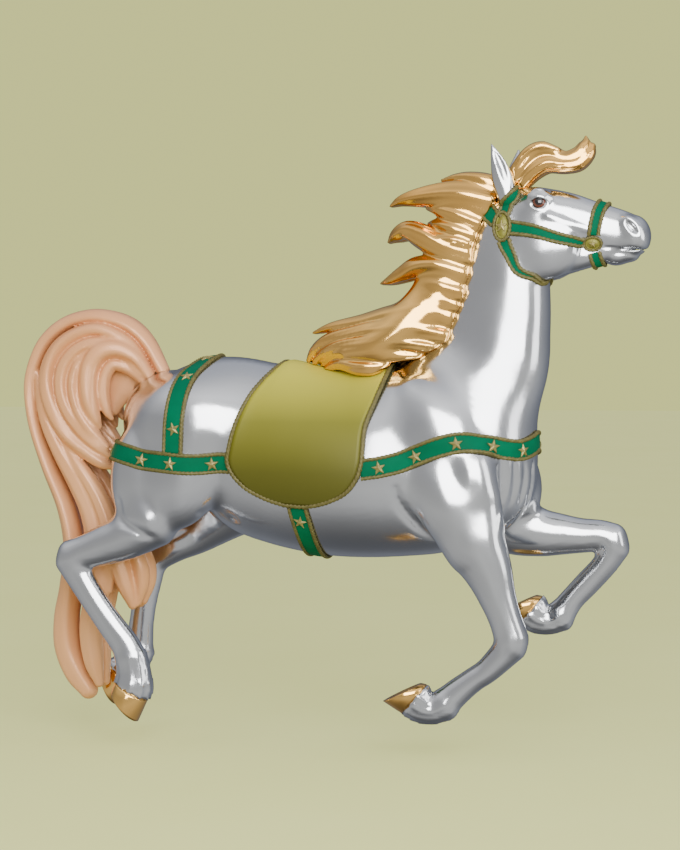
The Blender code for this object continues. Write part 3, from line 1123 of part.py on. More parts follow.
def reduced(thing, triangles):
    """Fewer faces for the same form."""
    thing.data.update()
    ways = sum(len(face.vertices) - 2 for face in thing.data.polygons)
    fewer = thing.modifiers.new("fewer", "DECIMATE")
    fewer.ratio = triangles / ways
    fewer.use_collapse_triangulate = True
    return evaluated(thing)


def clear_of(thing, others, gap=0.0004):
    """Cuts away whatever of the thing lies in the others, or nearer to them than the gap."""
    for other in others:
        cutter = solid("cutter", other.data.copy())
        grown = cutter.modifiers.new("grown", "DISPLACE")
        grown.strength = gap
        grown.mid_level = 0
        evaluated(cutter)
        cut = thing.modifiers.new("cut", "BOOLEAN")
        cut.operation = "DIFFERENCE"
        cut.solver = "EXACT"
        cut.object = cutter
        evaluated(thing)
        bpy.data.objects.remove(cutter)
    return tidy(thing)


def parted(thing, gap=0.0006, rounds=3):
    """Draws apart the sheets of one surface that touch or nearly touch at their corners."""
    mesh = thing.data
    for _ in range(rounds):
        tree = kdtree.KDTree(len(mesh.vertices))
        for vert in mesh.vertices:
            tree.insert(vert.co, vert.index)
        tree.balance()
        crowded = set()
        for vert in mesh.vertices:
            for _, other, _ in tree.find_range(vert.co, gap):
                if other != vert.index:
                    crowded |= {vert.index, other}
        for index in crowded:
            mesh.vertices[index].co -= mesh.vertices[index].normal * gap
        mesh.update()
    return thing


def is_closed(thing):
    uses = {}
    for face in thing.data.polygons:
        for key in face.edge_keys:
            uses[key] = uses.get(key, 0) + 1
    return all(count == 2 for count in uses.values())


def tidy(thing):
    """Keeps the largest piece, closed and made of triangles."""
    mesh = bmesh.new()
    mesh.from_mesh(thing.data)
    bmesh.ops.remove_doubles(mesh, verts=mesh.verts, dist=0.00005)
    bmesh.ops.dissolve_degenerate(mesh, edges=mesh.edges, dist=0.00005)
    mesh.verts.ensure_lookup_table()
    seen, pieces = set(), []
    for vert in mesh.verts:
        if vert in seen:
            continue
        piece, front = {vert}, [vert]
        while front:
            here = front.pop()
            for edge in here.link_edges:
                other = edge.other_vert(here)
                if other not in piece:
                    piece.add(other)
                    front.append(other)
        seen |= piece
        pieces.append(piece)
    largest = max(pieces, key=len)
    bmesh.ops.delete(mesh, geom=[v for v in mesh.verts if v not in largest], context="VERTS")
    bmesh.ops.triangulate(mesh, faces=mesh.faces)
    mesh.to_mesh(thing.data)
    mesh.free()
    return thing


BODY_INSET = 0.0022
BODY_TRIANGLES = 2750
MANE_TRIANGLES = 1040
TAIL_TRIANGLES = 900
FORELOCK_TRIANGLES = 200


def formed(name, cell, triangles, level=0.0):
    """A solid meshed from one of the forms and reduced.

    The reduction can pinch two sheets together, so it is tried again with a few more triangles
    until every edge has two faces.
    """
    form, low, high = FORMS[name]
    full = surface_mesh(name, form, low, high, cell, level)
    thing = solid(name, full)
    for extra in range(0, 200, 10):
        thing.data = full.copy()
        tidy(parted(reduced(thing, triangles + extra)))
        if is_closed(thing):
            break
    return thing


def main():
    for thing in list(bpy.data.objects):
        bpy.data.objects.remove(thing)
    form = horse_form

    body = formed("horse_body", 0.009, BODY_TRIANGLES, -BODY_INSET)
    for vert in body.data.vertices:
        if vert.co.z < SEAT_HEIGHT and abs(vert.co.x) < SEAT_REACH and abs(vert.co.y) < 0.08:
            vert.co.z = 0.0
    mane = formed("mane", 0.006, MANE_TRIANGLES)
    tail = formed("tail", 0.007, TAIL_TRIANGLES)
    forelock = clear_of(formed("forelock", 0.005, FORELOCK_TRIANGLES), [mane])
    for leg, hoof in HOOVES.items():
        solid("hoof_" + leg, hoof_mesh("hoof_" + leg, hoof, 12, 3))

    clear_of(solid("saddle_blanket", blanket_mesh("saddle_blanket", form)), [body])
    path = blanket_rim(form, BACK_HEIGHT + ROPE_RADIUS + 0.0008, 26, ROPE_RADIUS + 0.0070)
    trim = solid("blanket_trim", tube_mesh("blanket_trim", path, ROPE_RADIUS, 5))
    for name, path, step, others in (
        ("breast_strap", BREAST_PATH, 0.040, [trim]), ("hip_strap", HIP_PATH, 0.040, [trim, tail]),
        ("croup_strap", CROUP_PATH, 0.036, []), ("girth", GIRTH_PATH, 0.032, [trim]),
    ):
        clear_of(solid(name, laid_band(name, form, path, STRAP_PROFILE, step)), others)

    ovals, rounds = [], []
    for side in (-1, 1):
        word = "right" if side < 0 else "left"
        for name, (place, radii), kept in (
            ("oval_rosette_", OVAL_ROSETTE, ovals), ("round_rosette_", ROUND_ROSETTE, rounds),
        ):
            place = (place[0], -side * place[1], place[2])
            disc = solid(name + word, rosette_mesh(name + word, form, place, radii, ROSETTE_THICK, 12))
            kept.append(clear_of(disc, [body]))
    for name, path, others in (
        ("throat_latch", THROAT_PATH, ovals), ("noseband", NOSE_PATH, rounds),
        ("chin_strap", CHIN_PATH, rounds),
    ):
        clear_of(solid(name, laid_band(name, form, path, BRIDLE_PROFILE, 0.017)), others)
    for side in (-1, 1):
        word = "right" if side < 0 else "left"
        oval, others = ovals[side > 0], []
        for name, path, more in (
            ("brow_band_", BROW_PATH, [forelock]), ("crown_strap_", CROWN_PATH, [mane]),
            ("cheek_strap_", CHEEK_PATH, [rounds[side > 0]]),
        ):
            path = [(x, -side * y, z) for x, y, z in path]
            band = solid(name + word, laid_band(name, form, path, BRIDLE_PROFILE, 0.017))
            others.append(clear_of(band, [oval] + more + others))
        mesh = bmesh.new()
        eye = (EYE_PLACE[0], -side * EYE_PLACE[1], EYE_PLACE[2])
        bmesh.ops.create_icosphere(mesh, subdivisions=2, radius=EYE_RADIUS, matrix=Matrix.Translation(eye))
        clear_of(solid("eye_" + word, finished("eye", mesh)), [body])

    for strap, (path, profile, places) in STARS.items():
        height = profile[2][1]
        for number, guess in enumerate(places, 1):
            place, up, outward = star_stand(form, path, profile, guess)
            name = f"star_{strap}_{number:02d}"
            stand = place + outward * star_lift(form, place, up, outward, height)
            solid(name, star_mesh(name, stand, up, outward, STAR_RADIUS, STAR_THICK))
    for word, side in (("right", -1), ("left", 1)):
        for kind, (place, radii), radius in (
            ("oval", OVAL_ROSETTE, 0.0125), ("round", ROUND_ROSETTE, 0.0085),
        ):
            place = settle(form, np.array([(place[0], -side * place[1], place[2])]), 0.0)
            outward = gradient(form, place)[0]
            outward /= np.linalg.norm(outward)
            name = f"star_{kind}_{word}"
            stand = place[0] + outward * (ROSETTE_THICK * 0.72 + 0.0006)
            solid(name, star_mesh(name, stand, np.array([0, 0, 1.0]), outward, radius, 0.004))


if __name__ == "__main__":
    main()
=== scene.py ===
import math

import bmesh
import bpy
import numpy as np
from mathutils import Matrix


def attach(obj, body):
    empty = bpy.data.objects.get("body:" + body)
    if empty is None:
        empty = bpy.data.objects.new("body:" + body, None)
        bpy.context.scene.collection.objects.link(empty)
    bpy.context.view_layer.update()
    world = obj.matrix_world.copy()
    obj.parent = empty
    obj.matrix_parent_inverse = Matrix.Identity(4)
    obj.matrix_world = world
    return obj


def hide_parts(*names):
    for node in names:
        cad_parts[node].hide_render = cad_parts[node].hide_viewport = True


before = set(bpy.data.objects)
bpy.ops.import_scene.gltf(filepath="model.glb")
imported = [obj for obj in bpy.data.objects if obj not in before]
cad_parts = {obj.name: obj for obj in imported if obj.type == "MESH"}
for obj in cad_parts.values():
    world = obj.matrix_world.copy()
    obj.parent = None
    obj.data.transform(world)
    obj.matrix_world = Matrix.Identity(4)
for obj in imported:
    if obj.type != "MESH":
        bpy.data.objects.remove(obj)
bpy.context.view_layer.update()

import openvdb
from mathutils import Matrix, Vector

# Camera and lights

CAMERA_AZIMUTH = 13.0
CAMERA_ELEVATION = 2.0
CAMERA_DISTANCE = 4.877
CAMERA_TARGET = Vector((-0.025, 0, 0.318))
LENS = 85.0
SENSOR_WIDTH = 36.0
LIGHT_TARGET = Vector((0, 0, 0.25))


def linked(name, data):
    thing = bpy.data.objects.new(name, data)
    bpy.context.scene.collection.objects.link(thing)
    return thing


def placed(name, data, location, target):
    """Links an object at the location, aimed at the target."""
    thing = linked(name, data)
    thing.location = location
    thing.rotation_mode = "QUATERNION"
    thing.rotation_quaternion = (target - thing.location).to_track_quat("-Z", "Y")
    return thing


def make_camera():
    data = bpy.data.cameras.new("camera")
    data.lens = LENS
    data.sensor_width = SENSOR_WIDTH
    azimuth, elevation = math.radians(CAMERA_AZIMUTH), math.radians(CAMERA_ELEVATION)
    level = math.cos(elevation)
    back = Vector((math.sin(azimuth) * level, -math.cos(azimuth) * level, math.sin(elevation)))
    camera = placed("camera", data, CAMERA_TARGET + back * CAMERA_DISTANCE, CAMERA_TARGET)
    bpy.context.scene.camera = camera


def soft_light(name, location, size, power):
    data = bpy.data.lights.new(name, "AREA")
    data.shape = "RECTANGLE"
    data.size, data.size_y = size
    data.energy = power
    return placed(name, data, location, LIGHT_TARGET)


make_camera()

# Forms are distances: negative inside, positive outside. Rows are written in millimetres.

FAR = 1.0
MARGIN = 0.02


def metres(rows):
    return np.array(rows) / 1000


def smooth_union(a, b, blend):
    """The lower of two distances, with the corner between them rounded over the blend."""
    share = np.maximum(blend - np.abs(a - b), 0) / blend
    return np.minimum(a, b) - share**3 * blend / 6


def smooth_cut(a, b, blend):
    """What is left of a when b is carved out of it."""
    return -smooth_union(-a, b, blend)


def unit(rows):
    return rows / np.linalg.norm(rows, axis=-1, keepdims=True)


def looked_up(at, table, rows):
    """Each column of the rows, read at places along the table."""
    return np.stack([np.interp(at, table, column) for column in rows.T], 1)


def spline(rows, steps=10):
    """The rows sampled along one smooth curve that passes through each of them."""
    rows = np.asarray(rows, float)
    padded = np.vstack([2 * rows[:1] - rows[1:2], rows, 2 * rows[-1:] - rows[-2:-1]])
    t = np.arange(steps)[:, None] / steps
    sampled = [
        b + t * (c - a) / 2 + t**2 * (2 * a - 5 * b + 4 * c - d) / 2 + t**3 * (3 * b - a - 3 * c + d) / 2
        for a, b, c, d in zip(padded, padded[1:], padded[2:], padded[3:])
    ]
    return np.vstack(sampled + [rows[-1:]])


def ellipsoid(offset, radii):
    """Distance to an ellipsoid from places given along its own axes."""
    ratio = np.sqrt(np.maximum(((offset / radii) ** 2).sum(1), 1e-8))
    radius = np.sqrt((offset**2).sum(1))
    return radius - np.maximum(radius, 1e-5) / ratio


def limb(points, rows, taper=0.0, square=2.0, steps=10, ridges=(0, 0, 0)):
    """Distance to a form swept along a curve.

    Each row holds a middle point x, y, z, then half the depth and half the width there. Width lies
    across the horse and depth across the curve. A positive taper widens the upper or back half.
    Ridges are given as how many go round the section, how deep they are and how far they twist
    from one row to the next.
    """
    path = spline(rows, steps)
    middle = path[:, :3]
    tangent = unit(np.gradient(middle, axis=0))
    run = np.diff(middle, axis=0)
    nearest = ((middle**2).sum(1) - 2 * (points @ middle.T)).argmin(1)
    best = np.full(len(points), 1e9)
    place = np.zeros(len(points))
    for step in (-1, 0):
        i = np.clip(nearest + step, 0, len(run) - 1)
        away = points - middle[i]
        t = np.clip(np.einsum("ij,ij->i", away, run[i]) / (run**2).sum(1)[i], 0, 1)
        away -= t[:, None] * run[i]
        squared = np.einsum("ij,ij->i", away, away)
        place = np.where(squared < best, i + t, place)
        best = np.minimum(squared, best)
    index = np.minimum(place.astype(int), len(middle) - 2)
    share = (place - index)[:, None]
    here = path[index] * (1 - share) + path[index + 1] * share
    half_depth, half_width = here[:, 3], here[:, 4]
    along = unit(tangent[index] * (1 - share) + tangent[index + 1] * share)
    lateral = unit(np.array([0.0, 1.0, 0.0]) - along * along[:, 1:2])
    offset = points - here[:, :3]
    u = np.einsum("ij,ij->i", offset, lateral)
    v = np.einsum("ij,ij->i", offset, np.cross(along, lateral))
    s = np.einsum("ij,ij->i", offset, along)
    half_width = half_width * (1 + taper * np.clip(v / half_depth, -1, 1))
    section = np.abs(u / half_width) ** square + np.abs(v / half_depth) ** square
    ratio = section ** (2 / square) + (s / np.minimum(half_depth, half_width)) ** 2
    ratio = np.sqrt(np.maximum(ratio, 1e-8))
    count, relief, twist = ridges
    if count:
        turn = np.arctan2(v / half_depth, u / half_width) * count + twist * place / steps
        ratio *= 1 + relief * np.cos(turn)
    radius = np.sqrt(np.einsum("ij,ij->i", offset, offset))
    return radius - np.maximum(radius, 1e-5) / ratio


def ball(points, centre, radii, lean=0.0):
    """Distance to an ellipsoid, leaned nose down by an angle in degrees."""
    offset = points - metres(centre)
    c, s = math.cos(math.radians(lean)), math.sin(math.radians(lean))
    turned = [c * offset[:, 0] - s * offset[:, 2], offset[:, 1], s * offset[:, 0] + c * offset[:, 2]]
    return ellipsoid(np.stack(turned, 1), metres(radii))


def muscle(points, start, end, depth, width):
    """Distance to an ellipsoid that runs from start to end, with its width lying sideways."""
    start, end = metres(start), metres(end)
    length = np.linalg.norm(end - start) / 2
    along = (end - start) / (2 * length)
    lateral = unit(np.array([0, 1, 0]) - along * along[1])
    axes = np.stack([along, lateral, np.cross(along, lateral)], 1)
    return ellipsoid((points - (start + end) / 2) @ axes, (length, width / 1000, depth / 1000))


def near(points, low, high):
    return np.all((points > low) & (points < high), axis=1)


def blended(field, points, form, places, size, blend, carve, *values, **shape):
    """Joins a form to the field or carves it out, where the points are near enough to matter."""
    grow = size + blend + MARGIN
    inside = near(points, places.min(0) - grow, places.max(0) + grow)
    if inside.any():
        join = smooth_cut if carve else smooth_union
        field[inside] = join(field[inside], form(points[inside], *values, **shape), blend)


def add_limb(field, points, rows, blend, carve=False, **shape):
    size = rows[:, 3:5].max() * 1.3
    blended(field, points, limb, rows[:, :3], size, blend, carve, rows, **shape)


def add_muscle(field, points, start, end, depth, width, blend):
    size = max(depth, width) / 1000
    blended(field, points, muscle, metres([start, end]), size, blend, False, start, end, depth, width)


def add_ball(field, points, centre, radii, blend, carve=False, lean=0.0):
    blended(field, points, ball, metres([centre]), max(radii) / 1000, blend, carve, centre, radii, lean)


# The horse's own form, in the pose of the photograph

MIRROR_EASE = 0.008


def both_sides(points):
    """The points folded on to the left side, with the fold eased so that it leaves no crease."""
    folded = points.copy()
    folded[:, 1] = np.sqrt(points[:, 1] ** 2 + MIRROR_EASE**2)
    return folded


BARREL = metres([
    (-450, 0, 312, 140, 115), (-380, 0, 306, 172, 150), (-300, 0, 297, 190, 160),
    (-220, 0, 264, 217, 166), (-140, 0, 241, 222, 176), (-60, 0, 222, 219, 185), (20, 0, 214, 217, 188),
    (100, 0, 222, 222, 182), (190, 0, 235, 226, 166), (270, 0, 245, 215, 145), (330, 0, 250, 190, 125),
])
NECK = metres([
    (220, 0, 300, 175, 130), (282, 0, 375, 168, 112), (336, 0, 465, 148, 90), (359, 0, 560, 130, 78),
    (372, 0, 650, 115, 72), (377, 0, 730, 101, 67), (382, 0, 800, 82, 60),
])
FACE = metres([
    (402, 0, 832, 52, 50), (440, 0, 822, 66, 66), (480, 0, 808, 73, 67), (530, 0, 795, 74, 56),
    (585, 0, 784, 66, 46), (640, 0, 775, 57, 42), (678, 0, 768, 49, 42),
])
CHEEK = metres([(500, 30, 714, 42, 24), (560, 20, 720, 31, 22), (620, 12, 728, 22, 21)])
MOUTH = metres([
    (606, 44, 742, 2, 10), (640, 43, 737.5, 2.4, 13), (676, 34, 734.5, 2.2, 13), (708, 0, 734, 2, 15),
])
FACE_BONE = metres([(487, 58, 812, 8, 12), (530, 50, 796, 8, 10), (580, 41, 780, 6, 7)])


def head_form(points):
    """The head without its ears: skull, cheeks, jaw, muzzle, lips, nostrils and brows."""
    p = both_sides(points)
    field = np.full(len(points), FAR)
    add_limb(field, p, FACE, 0.02, square=2.3)
    add_ball(field, p, (470, 44, 746), (86, 30, 83), 0.018)
    add_limb(field, p, CHEEK, 0.02)
    add_ball(field, p, (645, 0, 718), (34, 29, 21), 0.01, lean=-8)
    add_ball(field, p, (667, 0, 719), (28, 28, 15), 0.008)
    add_ball(field, p, (685, 10, 761), (34, 35, 38), 0.018)
    add_ball(field, p, (695, 0, 750), (20, 27, 16.5), 0.01)
    add_limb(field, p, MOUTH, 0.005, carve=True)
    add_ball(field, p, (464, 52, 857), (30, 20, 18), 0.02)
    add_limb(field, p, FACE_BONE, 0.02)
    add_ball(field, p, (679, 30, 786), (34, 18, 21), 0.012, lean=47)
    add_ball(field, p, (680, 50, 786), (23, 12, 9), 0.004, carve=True, lean=47)
    return field


def torso_form(points):
    """Trunk and neck, with the muscles that both sides share."""
    p = both_sides(points)
    field = np.full(len(points), FAR)
    add_limb(field, p, BARREL, 0.05, taper=-0.05)
    add_muscle(field, p, (-240, 70, 350), (-520, 85, 275), 132, 105, 0.06)
    add_ball(field, p, (-470, 45, 336), (85, 76, 93), 0.04)
    add_limb(field, p, NECK, 0.09, taper=-0.2)
    add_muscle(field, p, (160, 85, 430), (330, 110, 170), 85, 70, 0.05)
    add_ball(field, p, (40, 0, 385), (130, 60, 62), 0.06)
    return field


# Each leg's upper part, cannon and pastern
RIGHT_FORE = [
    [(300, -120, 130, 92, 60), (325, -130, 52, 78, 56), (349, -130, 6, 64, 50), (364, -130, -28, 55, 45),
     (380, -130, -73, 45, 39), (398, -130, -122, 39, 36), (415, -130, -172, 40, 37)],
    [(414, -130, -190, 37, 34), (361, -130, -245, 30, 28), (325, -130, -271, 29, 27),
     (290, -130, -299, 32, 28), (260, -130, -326, 35, 31)],
    [(256, -130, -333, 36, 31), (230, -130, -344, 33, 30), (206, -130, -338, 39, 35),
     (186, -130, -322, 44, 40)],
]
LEFT_FORE = [
    [(340, 105, 110, 85, 62), (385, 120, 72, 73, 60), (446, 120, 56, 60, 52), (497, 120, 52, 51, 45),
     (546, 120, 50, 43, 40), (594, 120, 50, 39, 36), (624, 120, 42, 40, 36)],
    [(630, 120, 22, 36, 34), (605, 120, -20, 31, 30), (562, 120, -68, 31, 27), (528, 120, -105, 30, 28),
     (502, 120, -140, 34, 31)],
    [(498, 120, -148, 36, 31), (472, 120, -159, 33, 30), (448, 120, -153, 39, 35),
     (428, 120, -137, 44, 40)],
]
RIGHT_HIND = [
    [(-470, -125, 90, 75, 60), (-526, -130, 48, 58, 48), (-574, -130, 29, 51, 41),
     (-629, -130, 9, 43, 34), (-672, -130, -3, 39, 30)],
    [(-672, -130, -13, 38, 30), (-638, -130, -68, 34, 27), (-605, -130, -118, 33, 26),
     (-568, -130, -169, 34, 26), (-534, -130, -213, 36, 28), (-516, -130, -245, 38, 30)],
    [(-516, -130, -248, 38, 30), (-510, -130, -282, 40, 32), (-511, -130, -312, 46, 37),
     (-516, -130, -330, 46, 40)],
]
LEFT_HIND = [
    [(-350, 110, 110, 95, 65), (-420, 125, 45, 60, 50), (-480, 120, 10, 47, 40),
     (-530, 120, -20, 42, 32), (-548, 120, -40, 38, 29)],
    [(-546, 120, -42, 36, 29), (-550, 120, -80, 32, 27), (-564, 120, -135, 32, 26),
     (-573, 120, -190, 32, 26), (-578, 120, -242, 35, 28), (-580, 120, -265, 36, 30)],
    [(-580, 120, -268, 37, 30), (-592, 120, -296, 36, 31), (-612, 120, -318, 43, 36),
     (-628, 120, -330, 45, 40)],
]
LEGS = [RIGHT_FORE, LEFT_FORE, RIGHT_HIND, LEFT_HIND]
LEG_BLENDS = (0.04, 0.018, 0.014)

# Shoulders, chest and thighs, which differ from side to side with the gallop
QUARTERS = [
    ((210, -125, 270), (300, -142, 50), 75, 55, 0.03), ((300, -115, 290), (345, -120, 110), 60, 62, 0.03),
    ((355, 85, 300), (425, 85, 100), 60, 65, 0.03), ((-360, -110, 330), (-420, -130, 70), 98, 68, 0.05),
    ((-488, -95, 330), (-498, -125, 70), 78, 65, 0.03), ((-330, 110, 330), (-330, 130, 60), 100, 68, 0.05),
    ((-478, 95, 330), (-430, 125, 60), 82, 65, 0.03),
]
# Grooves between the muscles and the folds of skin: places on the surface with the groove's half
# size, and how softly its edges are rounded
CREASES = [
    ([(146, -173, 180, 4), (153, -168, 148, 9), (174, -153, 113, 12), (207, -124, 72, 12),
      (232, -100, 50, 8)], 0.014),
    ([(-537, -163, 138, 4), (-524, -175, 91, 8), (-488, -184, 69, 9), (-449, -173, 49, 4)], 0.018),
    ([(-330, -148, 106, 8), (-300, -128, 104, 14), (-268, -104, 88, 10)], 0.012),
    ([(390, -118, 250, 6), (393, -118, 205, 13), (392, -114, 150, 12), (385, -100, 120, 6)], 0.01),
    ([(415, -93, 240, 3), (417, -92, 196, 7), (408, -88, 140, 5)], 0.008),
    ([(436, -70, 235, 3), (437, -68, 195, 7), (424, -62, 140, 5)], 0.008),
    ([(448, -36, 235, 3), (450, -34, 190, 7), (436, -28, 140, 5)], 0.008),
]
EARS = [
    [(388, -42, 862, 24, 22), (379, -48, 900, 26, 17), (368, -53, 940, 18, 11), (353, -55, 983, 3, 3)],
    [(388, 42, 862, 24, 22), (391, 48, 900, 25, 17), (397, 53, 940, 17, 11), (402, 55, 980, 3, 3)],
]
SEAT_REACH = 0.12
SEAT_TOP = 0.05


def horse_form(points):
    """The whole cast body: trunk, neck, head, ears and the four legs to the coronets."""
    field = torso_form(points)
    for shape in QUARTERS:
        add_muscle(field, points, *shape)
    add_ball(field, points, (350, -20, 190), (92, 85, 110), 0.03)
    for leg in LEGS:
        for rows, blend in zip(leg, LEG_BLENDS):
            add_limb(field, points, metres(rows), blend)
    field = smooth_union(field, head_form(points), 0.025)
    ears = np.full(len(points), FAR)
    for ear in EARS:
        add_limb(ears, points, metres(ear), 0.01)
    field = smooth_union(field, ears, 0.012)
    for rows, blend in CREASES:
        add_limb(field, points, metres(rows)[:, [0, 1, 2, 3, 3]], blend, carve=True, steps=5)
    return cut_seat(trim_to_coronets(field, points), points)


def cut_seat(field, points):
    """Planes the belly flat at z = 0, where the carousel's pole is bolted."""
    inside = np.abs(points[:, 0]) < SEAT_REACH
    field[inside] = np.maximum(field[inside], -points[inside, 2] - 1e6 * (points[inside, 2] > SEAT_TOP))
    return field


# Hooves. Each is given by its place across the horse, then the coronet's front and back, the toe
# and the heel in side view.
HOOVES = {
    "front_right": (-130, (155, -356), (214, -286), (110, -328), (200, -284)),
    "front_left": (120, (396, -170), (455, -100), (351, -142), (441, -98)),
    "rear_right": (-130, (-475, -349), (-555, -306), (-500, -402), (-564, -330)),
    "rear_left": (120, (-590, -358), (-658, -298), (-640, -408), (-678, -330)),
}
HOOF_HALF_WIDTH = 0.041
SOLE_HALF_WIDTH = 0.047
HOOF_BULGE = 0.003
HOOF_SEGMENTS = 40
HOOF_RINGS = 12


def hoof_lines(hoof):
    """The coronet's middle and half length, the way down the hoof, and the sole's middle and half length."""
    front, back, toe, heel = (metres((x, hoof[0], z)) for x, z in hoof[1:])
    middle, reach = (front + back) / 2, (front - back) / 2
    sole, sole_reach = (toe + heel) / 2, (toe - heel) / 2
    forward = unit(reach)
    down = sole - middle
    down -= forward * (down @ forward)
    return middle, reach, unit(down), sole, sole_reach


def trim_to_coronets(field, points):
    """Ends each leg on the plane of its coronet, where the hoof begins."""
    for hoof in HOOVES.values():
        middle, reach, down, sole, sole_reach = hoof_lines(hoof)
        inside = near(points, middle - 0.075, middle + 0.075)
        field[inside] = np.maximum(field[inside], (points[inside] - middle) @ down)
    return field


def loft(mesh, rings, closed=False):
    """Joins rings of points with quads. The first and last ring are faces unless the loft is closed."""
    loops = [[mesh.verts.new(place) for place in ring] for ring in rings]
    for one, two in zip(loops, loops[1:] + loops[:1] * closed):
        for k in range(len(one)):
            mesh.faces.new((one[k - 1], one[k], two[k], two[k - 1]))
    if not closed:
        mesh.faces.new(loops[0])
        mesh.faces.new(loops[-1][::-1])
    return loops


def oval(middle, along, across, count):
    """Points round an oval, from its two half axes."""
    turns = np.arange(count)[:, None] * 2 * math.pi / count
    return middle + np.cos(turns) * along + np.sin(turns) * across


def finished(name, mesh):
    """Turns a bmesh into a mesh whose faces all look outwards."""
    bmesh.ops.recalc_face_normals(mesh, faces=mesh.faces)
    out = bpy.data.meshes.new(name)
    mesh.to_mesh(out)
    mesh.free()
    return out


def hoof_mesh(hoof):
    """A flared hoof lofted from the coronet to the sole, with a shallow hollow under it."""
    middle, reach, down, sole, sole_reach = hoof_lines(hoof)
    rows = []
    for share in np.linspace(0, 1, HOOF_RINGS):
        width = HOOF_HALF_WIDTH * (1 - share) + SOLE_HALF_WIDTH * share
        width += HOOF_BULGE * math.sin(math.pi * share)
        rows.append((middle * (1 - share) + sole * share, reach * (1 - share) + sole_reach * share, width))
    rows.append((sole, sole_reach * 0.84, SOLE_HALF_WIDTH * 0.84))
    rows.append((sole + (middle - sole) * 0.16, sole_reach * 0.72, SOLE_HALF_WIDTH * 0.70))
    mesh = bmesh.new()
    loft(mesh, [oval(centre, along, np.array([0, width, 0]), HOOF_SEGMENTS) for centre, along, width in rows])
    return mesh


# The hair, carved as locks. Each lock is a limb whose rows run from root to tip.

MANE_LOCKS = [
    [(383, -12, 868, 24, 20), (341, -16, 891, 24, 26), (298, -18, 905, 17, 22), (261, -16, 909, 10, 14),
     (226, -14, 905, 3, 4)],
    [(378, -18, 829, 30, 26), (336, -22, 844, 36, 34), (286, -26, 860, 34, 36), (236, -28, 867, 28, 32),
     (173, -26, 865, 19, 24), (128, -22, 858, 11, 14), (101, -18, 846, 3, 4)],
    [(348, -30, 775, 20, 20), (313, -36, 798, 21, 22), (261, -42, 821, 20, 22), (221, -40, 834, 13, 16),
     (192, -34, 838, 4, 6)],
    [(343, -28, 746, 18, 20), (306, -36, 767, 18, 22), (254, -44, 788, 17, 24), (218, -40, 800, 10, 14),
     (196, -34, 802, 4, 6)],
    [(333, -26, 707, 20, 22), (296, -34, 722, 22, 26), (236, -40, 741, 26, 30), (186, -40, 769, 26, 30),
     (148, -34, 785, 20, 26), (118, -28, 775, 14, 18), (96, -22, 759, 3, 5)],
    [(323, -34, 736, 14, 16), (268, -50, 757, 14, 20), (208, -52, 758, 13, 18), (172, -46, 752, 5, 8)],
    [(316, -28, 666, 20, 22), (278, -36, 679, 21, 26), (223, -42, 699, 21, 30), (173, -40, 699, 20, 28),
     (136, -32, 683, 16, 22), (103, -24, 668, 10, 14), (78, -20, 660, 3, 4)],
    [(306, -30, 625, 20, 22), (268, -40, 637, 21, 26), (215, -48, 654, 20, 26), (172, -42, 656, 7, 11)],
    [(296, -30, 591, 18, 22), (260, -38, 605, 18, 24), (198, -46, 625, 16, 24), (158, -40, 628, 6, 10)],
    [(288, -28, 557, 21, 24), (248, -34, 573, 23, 28), (173, -42, 590, 23, 32), (111, -42, 584, 20, 30),
     (36, -36, 568, 15, 24), (-40, -28, 556, 10, 15), (-90, -22, 542, 3, 4)],
    [(273, -32, 518, 20, 24), (238, -40, 533, 21, 28), (161, -50, 550, 20, 32), (86, -52, 550, 19, 32),
     (23, -46, 541, 16, 28), (-45, -38, 526, 13, 22), (-85, -30, 499, 10, 16), (-108, -26, 460, 3, 5)],
    [(238, -40, 495, 17, 22), (198, -48, 508, 18, 26), (133, -58, 518, 17, 28), (61, -62, 518, 17, 30),
     (-15, -56, 510, 14, 26), (-65, -46, 487, 10, 18), (-94, -36, 456, 3, 5)],
    [(178, -44, 477, 17, 22), (136, -52, 483, 18, 26), (78, -64, 489, 18, 28), (18, -64, 493, 16, 26),
     (-32, -56, 487, 12, 20), (-72, -50, 458, 3, 5)],
    [(128, -46, 458, 18, 22), (86, -56, 456, 20, 28), (38, -66, 458, 19, 30), (-17, -64, 466, 13, 22),
     (-74, -60, 444, 3, 5)],
]
MANE_SHEET = metres([
    (340, -14, 872, 26, 18), (297, -20, 822, 52, 30), (264, -22, 752, 58, 34), (242, -26, 684, 56, 37),
    (206, -30, 612, 54, 42), (140, -36, 552, 48, 54), (70, -40, 508, 38, 54), (10, -40, 492, 24, 40),
])
